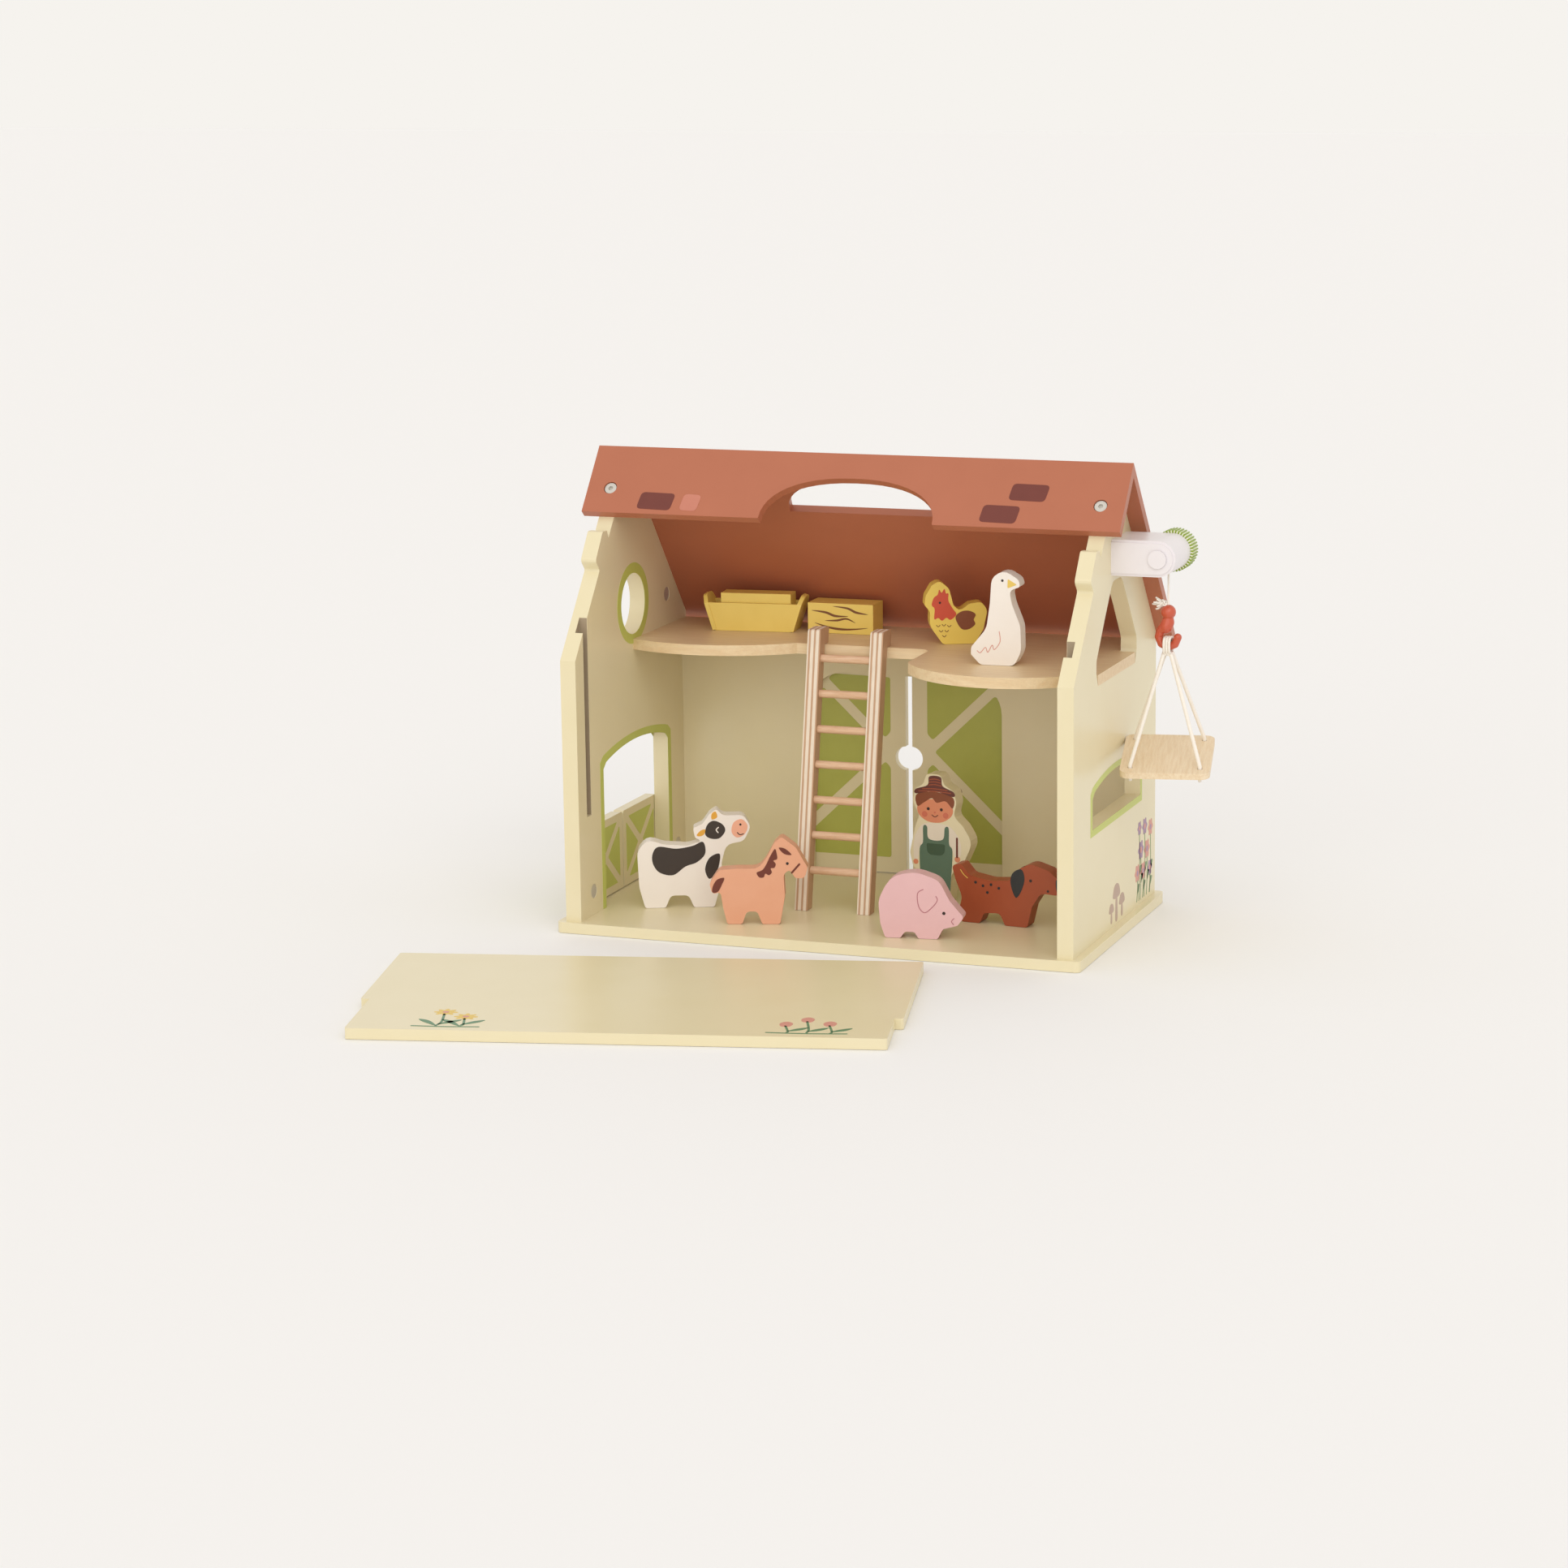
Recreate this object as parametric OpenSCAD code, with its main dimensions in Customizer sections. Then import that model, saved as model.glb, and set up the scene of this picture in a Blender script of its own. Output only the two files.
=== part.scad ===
// Wooden play barn with opening doors, a hay loft, a cord winch with a swing and its loose play pieces.
// Millimetres. X runs to the right, Y to the back and Z up; the origin is the middle of the base's underside.

/* [Base board] */
// Width of the base board
base_w = 302; // [280:1:340]
// Depth of the base board
base_d = 171; // [168:1:190]
// Thickness of the base board
base_t = 6; // [5:0.5:8]
// Radius of the base board's corners
base_corner = 3; // [1:0.5:6]

/* [Side walls] */
// Thickness of the side walls
wall_t = 9; // [8:0.5:11]
// Strip of base board left free outside each side wall
side_strip = 4.5; // [2:0.5:8]
// Depth of the side walls
wall_d = 164; // [158:1:166]
// Middle of the doorway and windows, behind the middle of the base
opening_back = 2; // [-4:0.5:6]
// Depth of the step in the gable under the front eave
ear_out = 9; // [4:0.5:12]
// Length of the step in the gable, along the slope
ear_len = 20; // [12:0.5:26]

/* [Roof] */
// Height of the ridge above the table
ridge_h = 261.4; // [250:0.2:280]
// Distance of the ridge behind the middle of the base
ridge_back = 1; // [-3:0.5:4]
// Slope of both roof panels in degrees
pitch = 50.5; // [48:0.5:53]
// Thickness of the roof panels
roof_t = 5; // [4:0.5:7]
// Slope length of the short front roof panel
front_slope = 43.5; // [40:0.5:50]
// Slope length of the long rear roof panel
rear_slope = 139; // [125:0.5:145]
// Overhang of the roof panels past each side wall
roof_overhang = 9; // [4:0.5:14]
// Width of the arched hand hole
grip_w = 100.6; // [80:0.2:120]
// Height of the arched hand hole, along the slope
grip_h = 27.5; // [20:0.5:32]

/* [Doorway and windows] */
// Width of the doorway and of the low window
doorway_w = 96; // [80:1:104]
// Height above the table at which the doorway's arch starts
arch_start = 88; // [80:0.5:96]
// Rise of the doorway's arch
arch_rise = 6.3; // [4:0.1:12]
// Height of the low window's sill above the table
sill_h = 69; // [62:0.5:76]
// Diameter of the round window
round_window_d = 34.6; // [28:0.2:38]
// Height of the round window's middle above the loft
round_window_up = 20.2; // [19:0.1:26]
// Greatest width of the loft window
loft_window_w = 80; // [70:1:90]
// Height of the loft window's crown above the loft
loft_window_rise = 46.5; // [40:0.5:52]

/* [Back wall and doors] */
// Thickness of the back wall
back_t = 6; // [4:0.5:8]
// Set-back of the back wall from the side walls' rear edges
back_inset = 1; // [0:0.5:3]
// Width of the rear doorway
rear_opening_w = 116; // [100:1:124]
// Height of the back wall left over the rear doorway
rear_head = 21.5; // [16:0.1:30]
// Radius of the rear doorway's top corners
rear_corner = 20; // [10:1:30]
// Thickness of the rear door leaves
door_t = 5; // [4:0.5:7]
// Lap of the door leaves over the rear doorway's edge
door_lap = 4; // [2:0.5:8]
// Slit between the two door leaves
door_slit = 4; // [2:0.1:5]
// Diameter of the finger hole shared by the two door leaves
finger_d = 14; // [10:0.5:18]
// Height of the finger hole's middle
finger_h = 75; // [60:1:90]

/* [Half gates] */
// Thickness of the gate leaves
gate_t = 6; // [4:0.5:7]
// Height of the gate's top edge above the table
gate_top = 51; // [46:0.5:60]
// Lap of the gate leaves over the doorway's edge
gate_lap = 3; // [2:0.5:6]
// Slit between the two gate leaves
gate_slit = 1.4; // [0.8:0.1:3]

/* [Hinges] */
// Length of a butt hinge
hinge_len = 11; // [9:0.5:16]
// Outer radius of the hinge knuckle
knuckle_r = 1.3; // [1.1:0.05:1.5]
// Radius of the hinge pin
hinge_pin_r = 0.6; // [0.5:0.05:0.8]
// Thickness of the hinge wings
wing_t = 0.6; // [0.4:0.1:0.8]
// Width of the fixed hinge wing
wing_w = 7; // [5:0.5:9]

/* [Loft] */
// Drop from the ridge to the loft's top face
loft_drop = 109.6; // [106:0.2:114]
// Thickness of the loft floor
loft_t = 6; // [4:0.2:7]
// Set-back of the straight middle edge behind the middle of the base
loft_edge_back = 14; // [8:1:20]
// Radius of the right-hand front curve
loft_right_r = 61.5; // [58:0.5:66]
// Radius of the left-hand front curve
loft_left_r = 86.7; // [80:0.1:100]
// Depth of the groove that carries the loft's left edge
loft_groove = 3; // [2:0.5:5]

/* [Front panel] */
// Thickness of the lift-out front panel
panel_t = 5.8; // [4:0.1:6.4]
// Height of the front panel
panel_h = 153.8; // [140:0.2:160]
// Height of the left step above the panel's lower edge
panel_step_left = 57.3; // [45:0.1:70]
// Height of the right step above the panel's lower edge
panel_step_right = 38.5; // [25:0.1:50]
// Depth of the panel grooves in the side walls
groove_depth = 4.6; // [3:0.1:5.5]
// Distance of the panel grooves behind the side walls' front edges
groove_back = 11.5; // [8:0.5:16]
// Turn of the panel where it lies on the table
panel_turn = 13.4; // [-20:0.1:30]

/* [Ladder] */
// Distance between the middles of the two rails
rail_pitch = 37; // [30:0.5:44]
// Width of a rail
rail_w = 7.5; // [6:0.5:9]
// Depth of a rail
rail_d = 8; // [6:0.5:10]
// Reach of the rail heads over the loft
rail_hook = 6; // [4:0.5:9]
// Height of the rail heads above the loft
rail_head = 9.3; // [8:0.1:16]
// Lean of the ladder from upright, in degrees
ladder_lean = 10.1; // [5:0.1:12]
// Place of the ladder's middle along the loft
ladder_x = -11.8; // [-30:0.1:10]
// Number of rungs
rung_count = 7; // [5:1:9]
// Drop of the highest rung below the loft's top face
rung_drop = 6.9; // [6:0.1:14]
// Height of the lowest rung above the base board
rung_first = 21.9; // [18:0.1:24]
// Diameter of a rung
rung_d = 4.5; // [3.5:0.1:5.5]

/* [Winch] */
// Height of the winch housing
winch_h = 19.6; // [16:0.1:22]
// Depth of the winch housing, front to back
winch_d = 32; // [26:0.5:36]
// Drop from the ridge to the winch axle
winch_drop = 49.8; // [45:0.1:56]
// Reach of the winch axle past the side wall
winch_reach = 25.7; // [25:0.1:34]
// Wall thickness of the winch housing
winch_wall = 2; // [1.5:0.1:2.6]
// Radius of the winch axle
axle_r = 2; // [1.5:0.1:2.4]
// Radius of the drum that the cord winds on
drum_r = 2.2; // [2:0.1:2.4]
// Radius of the drum's flanges
flange_r = 6; // [5:0.1:6.6]
// Radius of the ribbed knob
knob_r = 11.5; // [10:0.1:13]
// Thickness of the ribbed knob
knob_t = 10; // [7:0.5:14]
// Number of ribs round the knob
knob_ribs = 40; // [24:2:60]

/* [Swing] */
// Drop from the winch axle to the bead on the hook
cord_drop = 30.4; // [24:0.1:60]
// Diameter of the hoist cord
hoist_cord_d = 1.2; // [1:0.1:1.6]
// Diameter of the swing's cords
swing_cord_d = 2.3; // [1.6:0.1:2.6]
// Radius of the hook's bar
hook_bar_r = 2.2; // [1.8:0.1:2.4]
// Drop from the hook's saddle to the swing seat
swing_drop = 59; // [50:0.5:70]
// Width of the swing seat
seat_w = 48.5; // [40:0.5:49]
// Depth of the swing seat
seat_d = 54; // [44:1:60]
// Thickness of the swing seat
seat_t = 3.6; // [2.4:0.1:5]
// Turn of the seat under its hook, in degrees
seat_turn = 11; // [0:0.5:12]
// Forward tip of the hanging seat, in degrees
seat_tip = 11.4; // [0:0.2:12]

/* [Play pieces] */
// Thickness of the flat wooden animals
figure_t = 10; // [7:0.5:12]
// Thickness of the flat wooden farmer
farmer_t = 10; // [7:0.5:12]
// Length of the hay trough at its rim
trough_len = 57.5; // [46:0.5:60]
// Depth of the hay trough
trough_d = 18; // [14:0.5:20]
// Height of the hay trough's rim
trough_h = 16; // [12:0.5:20]
// Length of the hay bale
bale_len = 39; // [28:0.5:42]
// Depth of the hay bale
bale_d = 18; // [12:0.5:18]
// Height of the hay bale
bale_h = 17.2; // [14:0.1:19]

/* [Fits] */
// Gap between a leaf or a play piece and what it closes on or rests on
leaf_air = 0.3; // [0.2:0.05:0.5]
// Radial play of a pin or an axle in its bore
pin_play = 0.05; // [0.02:0.01:0.1]
// Play of the front panel in its grooves
panel_play = 0.3; // [0.2:0.05:0.6]
// Clearance round a bolt in its hole
bolt_play = 0.2; // [0.1:0.05:0.4]

/* [Hidden] */

$fn = 48;
eps = 0.01;
cut = 20; // how far a cutting shape runs past the face it cuts

// Places worked out from the driving sizes
wall_out = base_w/2 - side_strip;
wall_in = wall_out - wall_t;
wall_mid = wall_out - wall_t/2;
wall_front = -wall_d/2;
wall_rear = wall_d/2;
roof_half = wall_out + roof_overhang;
ridge_in = ridge_h - roof_t/cos(pitch);
back_out = wall_rear - back_inset;
back_in = back_out - back_t;
loft_top = ridge_h - loft_drop;
loft_under = loft_top - loft_t;
round_window_h = loft_top + round_window_up;
rung_pitch = (loft_top - rung_drop - base_t - rung_first)/(rung_count - 1);
rear_opening_top = loft_under - rear_head;
winch_axle_h = ridge_h - winch_drop;
door_face = back_out + leaf_air;
gate_face = -wall_out - leaf_air;
leaf_low = base_t + 2*leaf_air;
rest = leaf_air/2;

// Point in the gable plane, s down the slope and n out from the roof's inner face; side -1 is the front
function on_slope(side, s, n) =
  [ridge_back + side*(s*cos(pitch) + n*sin(pitch)), ridge_in - s*sin(pitch) + n*cos(pitch)];
function slope_z(y) = ridge_in - abs(y - ridge_back)*tan(pitch);

// Round outlines: each point is [x, y, corner radius]
function unit(v) = v/norm(v);
function corner(a, p, b, r, n) =
  let (u = unit(a - p), v = unit(b - p), half = acos(u*v)/2,
       t = min(r/tan(half), 0.48*norm(a - p), 0.48*norm(b - p)),
       re = t*tan(half), c = p + unit(u + v)*re/sin(half), s = p + u*t - c, e = p + v*t - c,
       a0 = atan2(s[1], s[0]), d = atan2(e[1], e[0]) - a0, turn = d > 180 ? d - 360 : d < -180 ? d + 360 : d)
  [for (i = [0:n]) c + re*[cos(a0 + turn*i/n), sin(a0 + turn*i/n)]];
function flat(p) = [p[0], p[1]];
function rounded(pts, n = 3) =
  let (m = len(pts))
  [for (i = [0:m - 1]) each (len(pts[i]) > 2 && pts[i][2] > 0
    ? corner(flat(pts[(i + m - 1)%m]), flat(pts[i]), flat(pts[(i + 1)%m]), pts[i][2], n) : [flat(pts[i])])];
function arc(c, r, a0, a1, n) = [for (i = [0:n]) c + r*[cos(a0 + (a1 - a0)*i/n), sin(a0 + (a1 - a0)*i/n)]];

// Closed tube of eight sides along a route of points
tube_sides = 8;
function tube_dir(pts, i) =
  unit((i < len(pts) - 1 ? pts[i + 1] - pts[i] : pts[i] - pts[i - 1])
     + (i > 0 ? pts[i] - pts[i - 1] : pts[i + 1] - pts[i]));
function tube_ring(p, d, r) =
  let (u = unit(cross(d, abs(d[0]) < 0.9 ? [1, 0, 0] : [0, 1, 0])), v = cross(d, u))
  [for (k = [0:tube_sides - 1]) p + r*(cos(360*k/tube_sides)*u + sin(360*k/tube_sides)*v)];
module tube(pts, d) {
  n = len(pts);
  m = tube_sides;
  polyhedron(
    points = [for (i = [0:n - 1]) each tube_ring(pts[i], tube_dir(pts, i), d/2)],
    faces = concat([[for (k = [0:m - 1]) m - 1 - k]],
      [for (i = [0:n - 2]) for (k = [0:m - 1])
        [i*m + k, i*m + (k + 1)%m, (i + 1)*m + (k + 1)%m, (i + 1)*m + k]],
      [[for (k = [0:m - 1]) (n - 1)*m + k]]));
}

// Extrusions that stand an outline up: side_plate takes [Y, Z] along +X, front_plate takes [X, Z] along +Y
module side_plate(x, t) { translate([x, 0, 0]) rotate([90, 0, 90]) linear_extrude(t) children(); }
module front_plate(y, t) { translate([0, y + t, 0]) rotate([90, 0, 0]) linear_extrude(t) children(); }
module box(x0, x1, y0, y1, z0, z1) { translate([x0, y0, z0]) cube([x1 - x0, y1 - y0, z1 - z0]); }

// Base board
base_bolt_y = 63.2;
base_bolt_r = 2;
base_head_r = 3.6;
base_head_t = 2.4;
nut_r = 4;
nut_len = 0.75*wall_t;
nut_depth = 13.5;
bolt_past = 3;
back_screw_x = 98;
back_screw_r = 1.5;
back_screw_len = 24;

module base_board() color("#E9DDB8") difference() {
  linear_extrude(base_t) polygon(rounded([[-base_w/2, -base_d/2, base_corner], [base_w/2, -base_d/2, base_corner],
    [base_w/2, base_d/2, base_corner], [-base_w/2, base_d/2, base_corner]], 4));
  for (x = [-wall_mid, wall_mid], y = [-base_bolt_y, base_bolt_y]) translate([x, y, 0]) {
    translate([0, 0, -eps]) cylinder(r = base_head_r + bolt_play, h = base_head_t + rest + eps);
    cylinder(r = base_bolt_r + bolt_play, h = base_t + eps);
  }
  for (x = [-back_screw_x, back_screw_x]) translate([x, back_in + back_t/2, 0]) {
    translate([0, 0, -eps]) cylinder(r = 2*back_screw_r, h = back_screw_r + rest + eps);
    cylinder(r = back_screw_r, h = base_t + eps);
  }
}

module base_bolts() color("silver") for (x = [-wall_mid, wall_mid], y = [-base_bolt_y, base_bolt_y])
  translate([x, y, rest]) difference() {
    union() {
      cylinder(r = base_head_r, h = base_head_t);
      cylinder(r = base_bolt_r, h = base_t - rest + nut_depth + bolt_past);
    }
    translate([0, 0, -eps]) cylinder(r = socket_r, h = socket_t, $fn = 6);
  }

module back_wall_screws() color("silver") for (x = [-back_screw_x, back_screw_x])
  translate([x, back_in + back_t/2, rest]) {
    cylinder(r = 2*back_screw_r - bolt_play, h = back_screw_r);
    cylinder(r = back_screw_r, h = back_screw_len);
  }

// Side walls
roof_bolt_places = [[-1, 21.4], [1, 26.8], [1, 97.7]]; // side of the ridge and drop along the slope
roof_bolt_r = 2;
roof_head_r = 3.4;
roof_head_t = 2;
socket_r = 1.5;
socket_t = 1.3;
roof_sink = 2.6;
ear_start = 51;
groove_w = panel_t + 2*panel_play;
groove_y = wall_front + groove_back;
groove_low_left = base_t + panel_step_left;
groove_low_right = base_t + panel_step_right;

module gable() polygon(concat(
  [[wall_front, base_t], [wall_rear, base_t], [wall_rear, slope_z(wall_rear)], [ridge_back, ridge_in]],
  rounded([on_slope(-1, ear_start - 1, 0), concat(on_slope(-1, ear_start, 0), 0.6),
    concat(on_slope(-1, ear_start - 2, ear_out/2), 1.2), concat(on_slope(-1, ear_start + 1.5, ear_out), 2.5),
    concat(on_slope(-1, ear_start + ear_len, ear_out - 1), 2.5), concat(on_slope(-1, ear_start + ear_len + 1, 0), 2),
    on_slope(-1, ear_start + ear_len + 4, 0)]),
  [[wall_front, slope_z(wall_front)]]));

module arched_opening(low) {
  r = (pow(doorway_w/2, 2) + pow(arch_rise, 2))/(2*arch_rise);
  intersection() {
    translate([opening_back - doorway_w/2, low]) square([doorway_w, arch_start + arch_rise - low]);
    translate([opening_back, arch_start + arch_rise - r]) circle(r, $fn = 96);
  }
}

module panel_groove(side, low) {
  x0 = side < 0 ? -wall_in - groove_depth : wall_in - eps;
  box(x0, x0 + groove_depth + eps, groove_y, groove_y + groove_w, low, ridge_h);
}

// Stands what follows square to a roof slope, at its inner face
module at_slope(side, s) translate([0, on_slope(side, s, 0)[0], on_slope(side, s, 0)[1]])
  rotate([-side*pitch, 0, 0]) children();

// Blind holes of the wall at X = x: for each bolt, and from the room side for its barrel nut
module wall_fixings(x) {
  for (b = roof_bolt_places) translate([x, 0, 0]) at_slope(b[0], b[1]) {
    translate([0, 0, -nut_depth - bolt_past - leaf_air])
      cylinder(r = roof_bolt_r + bolt_play, h = nut_depth + bolt_past + cut);
    translate([0, 0, -nut_depth]) nut_hole(x);
  }
  for (y = [-base_bolt_y, base_bolt_y]) translate([x, y, base_t]) {
    translate([0, 0, -eps]) cylinder(r = base_bolt_r + bolt_play, h = nut_depth + bolt_past + leaf_air);
    translate([0, 0, nut_depth]) nut_hole(x);
  }
}
module nut_hole(x) rotate([0, sign(x)*90, 0]) translate([0, 0, -wall_t/2 - eps])
  cylinder(r = nut_r + pin_play, h = nut_len + 2*eps);

module left_wall() color("#E9DDB8") difference() {
  side_plate(-wall_out, wall_t) difference() {
    gable();
    arched_opening(base_t - eps);
    translate([opening_back, round_window_h]) circle(d = round_window_d);
  }
  panel_groove(-1, groove_low_left);
  box(-wall_in - loft_groove, -wall_in + eps, loft_left_y, wall_rear + eps, loft_under, loft_top);
  wall_fixings(-wall_mid);
}

module loft_window() {
  w = loft_window_w/2;
  z = loft_under;
  translate([ridge_back, 0]) polygon(rounded([[-window_foot, z, 0], [window_foot, z, 0], [w, loft_top + 1, 2],
    [w, loft_top + 8, 5], [0.6*w, loft_top + 0.61*loft_window_rise, 30], [0.22*w, loft_top + loft_window_rise, 9],
    [-0.22*w, loft_top + loft_window_rise, 9], [-0.6*w, loft_top + 0.61*loft_window_rise, 30],
    [-w, loft_top + 8, 5], [-w, loft_top + 1, 2]], 5));
}

module right_wall() color("#E9DDB8") difference() {
  side_plate(wall_in, wall_t) difference() {
    gable();
    arched_opening(sill_h);
    loft_window();
  }
  panel_groove(1, groove_low_right);
  wall_fixings(wall_mid);
  for (y = winch_screw_y) translate([wall_in - eps, y, winch_axle_h]) rotate([0, 90, 0])
    cylinder(r = winch_screw_r + bolt_play, h = wall_t + 2*eps);
}

// Back wall and its pair of doors
rear_half = rear_opening_w/2;
door_half = rear_half + door_lap;
door_top = rear_opening_top + door_lap;
door_hinge_z = [28, rear_opening_top - 28.3];
wing_screw_r = 0.9;

module rear_opening(grow, low) polygon(rounded([[-rear_half - grow, low, 0], [rear_half + grow, low, 0],
  [rear_half + grow, rear_opening_top + grow, rear_corner + grow],
  [-rear_half - grow, rear_opening_top + grow, rear_corner + grow]], 8));

module back_wall() color("#E9DDB8") difference() {
  front_plate(back_in, back_t) difference() {
    translate([-wall_in, base_t]) square([2*wall_in, loft_under - base_t]);
    rear_opening(0, base_t - eps);
  }
  for (x = [-back_screw_x, back_screw_x]) translate([x, back_in + back_t/2, 0])
    cylinder(r = back_screw_r, h = back_screw_len + rest);
}

module door_leaf(side) difference() {
  front_plate(door_face, door_t) difference() {
    intersection() {
      rear_opening(door_lap, leaf_low);
      translate([side > 0 ? door_slit/2 : -door_half, leaf_low]) square([door_half - door_slit/2, door_top]);
    }
    translate([side*door_slit/3, finger_h]) circle(d = finger_d);
  }
}
module back_door_left() color("#B9C25A") door_leaf(-1);
module back_door_right() color("#B9C25A") door_leaf(1);

// Butt hinge, standing at its axis: the fixed wing runs along +X on a face at Y = -hinge_seat,
// the moving wing stands along +Y on a leaf edge at X = -hinge_side
hinge_seat = knuckle_r + 0.1;
hinge_side = knuckle_r + 0.5;
knuckle_gap = leaf_air;
knuckle_mid = hinge_len*0.36;

module knuckle(z0, z1) difference() {
  translate([0, 0, z0]) cylinder(r = knuckle_r, h = z1 - z0);
  translate([0, 0, z0 - eps]) cylinder(r = hinge_pin_r + pin_play, h = z1 - z0 + 2*eps);
}
module hinge_fixed() {
  h = hinge_len/2;
  m = knuckle_mid/2 + knuckle_gap;
  for (side = [-1, 1]) {
    knuckle(side < 0 ? -h : m, side < 0 ? -m : h);
    difference() {
      box(0, knuckle_r + leaf_air + eps, -hinge_seat, -hinge_seat + wing_t,
        side < 0 ? -h : m, side < 0 ? -m : h);
      cylinder(r = hinge_pin_r + pin_play, h = 2*hinge_len, center = true);
    }
  }
  difference() {
    box(knuckle_r + leaf_air, wing_w, -hinge_seat, -hinge_seat + wing_t, -h, h);
    for (z = [-h/2, h/2]) translate([wing_w - 2, 0, z]) rotate([90, 0, 0])
      cylinder(r = wing_screw_r, h = 2*cut, center = true);
  }
  for (z = [-h/2, h/2]) translate([wing_w - 2, -hinge_seat, z]) rotate([-90, 0, 0]) {
    cylinder(r = wing_screw_r, h = wing_t);
    translate([0, 0, wing_t]) cylinder(r = 1.5*wing_screw_r, h = 0.4);
  }
}
module hinge_moving(reach) {
  h = hinge_len/2;
  m = knuckle_mid/2;
  knuckle(-m, m);
  difference() {
    union() {
      box(-hinge_side, -hinge_side + wing_t, 0, reach, -m, m);
      box(-hinge_side, 0, -wing_t/2, wing_t/2, -m, m);
      box(-hinge_side, -hinge_side + wing_t, knuckle_r + leaf_air, reach, -h, h);
    }
    cylinder(r = hinge_pin_r + pin_play, h = 2*hinge_len, center = true);
  }
}
module hinge_pin() {
  translate([0, 0, -hinge_len/2 - 0.5]) cylinder(r = hinge_pin_r, h = hinge_len + 1);
  translate([0, 0, hinge_len/2]) cylinder(r = knuckle_r*0.8, h = 0.5);
}

door_axis_x = door_half + hinge_side;
door_axis_y = back_out + hinge_seat;
module at_door_hinges(side) for (z = door_hinge_z)
  translate([side*door_axis_x, door_axis_y, z]) mirror([side < 0 ? 1 : 0, 0, 0]) children();

module door_hinge_plates() color("#B8A36A") for (side = [-1, 1]) at_door_hinges(side) hinge_fixed();
module door_hinge_pins() color("#8F8A80") for (side = [-1, 1]) at_door_hinges(side) hinge_pin();
door_wing_reach = door_face + door_t - door_axis_y;
module door_hinge_wing_left() color("#B8A36A") at_door_hinges(-1) hinge_moving(door_wing_reach);
module door_hinge_wing_right() color("#B8A36A") at_door_hinges(1) hinge_moving(door_wing_reach);

// Half gates on the outside of the left wall
gate_half = doorway_w/2 + gate_lap;
gate_hinge_z = [15, 42];
gate_axis_x = -wall_out - hinge_seat;
module gate_leaf(side) side_plate(gate_face - gate_t, gate_t) polygon(rounded([
  [opening_back + side*gate_slit/2, leaf_low, 0], [opening_back + side*gate_half, leaf_low, 0],
  [opening_back + side*gate_half, gate_top, 1.5], [opening_back + side*gate_slit/2, gate_top, 1.5]], 3));
module gate_front() color("#D9D38C") gate_leaf(-1);
module gate_rear() color("#D9D38C") gate_leaf(1);

module at_gate_hinges(side) for (z = gate_hinge_z)
  translate([gate_axis_x, opening_back + side*(gate_half + hinge_side), z])
    rotate([0, 0, 90]) mirror([side < 0 ? 1 : 0, 0, 0]) children();
module gate_hinge_plates() color("#B8A36A") for (side = [-1, 1]) at_gate_hinges(side) hinge_fixed();
module gate_hinge_pins() color("#8F8A80") for (side = [-1, 1]) at_gate_hinges(side) hinge_pin();
gate_wing_reach = -gate_face + gate_t + gate_axis_x;
module gate_hinge_wing_front() color("#B8A36A") at_gate_hinges(-1) hinge_moving(gate_wing_reach);
module gate_hinge_wing_rear() color("#B8A36A") at_gate_hinges(1) hinge_moving(gate_wing_reach);

// Loft floor: a straight middle edge for the ladder between two curved fronts
loft_left_mid = [-100, loft_left_r - 7.2];
loft_right_mid = [wall_in - 47.5, loft_right_r - 59];
loft_left_from = -acos((-wall_in - loft_left_mid[0])/loft_left_r);
loft_left_to = asin((loft_edge_back - loft_left_mid[1])/loft_left_r);
loft_left_y = loft_left_mid[1] + loft_left_r*sin(loft_left_from);
loft_nose_x = wall_in - 101.5; // where the right-hand front starts
loft_nose_r = 9;
loft_nose = [loft_nose_x + loft_nose_r, loft_right_mid[1]
  - sqrt(pow(loft_right_r - loft_nose_r, 2) - pow(loft_right_mid[0] - loft_nose_x - loft_nose_r, 2))];
loft_right_from = atan2(loft_nose[1] - loft_right_mid[1], loft_nose[0] - loft_right_mid[0]);
loft_right_to = -acos((wall_in - loft_right_mid[0])/loft_right_r);
loft_inner_r = 6; // of the inner corner beside the ladder
window_foot = loft_window_w/2 - 3; // half of the loft window's lower edge

module loft_floor() color("#DDBD92") translate([0, 0, loft_under]) linear_extrude(loft_t) polygon(concat(
  [[-wall_in - loft_groove, wall_rear], [-wall_in - loft_groove, loft_left_y]],
  arc(loft_left_mid, loft_left_r, loft_left_from, loft_left_to, 22),
  arc([loft_nose_x - loft_inner_r, loft_edge_back - loft_inner_r], loft_inner_r, 90, 0, 6),
  arc(loft_nose, loft_nose_r, -180, loft_right_from, 4),
  arc(loft_right_mid, loft_right_r, loft_right_from + 1, loft_right_to, 36),
  [[wall_in, ridge_back - window_foot + eps], [wall_out, ridge_back - window_foot + eps],
    [wall_out, ridge_back + window_foot - eps], [wall_in, ridge_back + window_foot - eps],
    [wall_in, wall_rear]]));

// Roof panels with the arched hand hole: open at the front eave, D-shaped in the rear panel
function superellipse(a, b, p, n) = [for (i = [0:n]) let (t = 180*i/n)
  [a*sign(cos(t))*pow(abs(cos(t)), 2/p), b*pow(abs(sin(t)), 2/p)]];

module roof_section(side, s) {
  drop = roof_t/tan(90 - pitch);
  polygon([[ridge_back, ridge_h], [ridge_back + side*s*cos(pitch), ridge_h - s*sin(pitch)],
    on_slope(side, s - drop, 0), [ridge_back, ridge_in]]);
}

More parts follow.
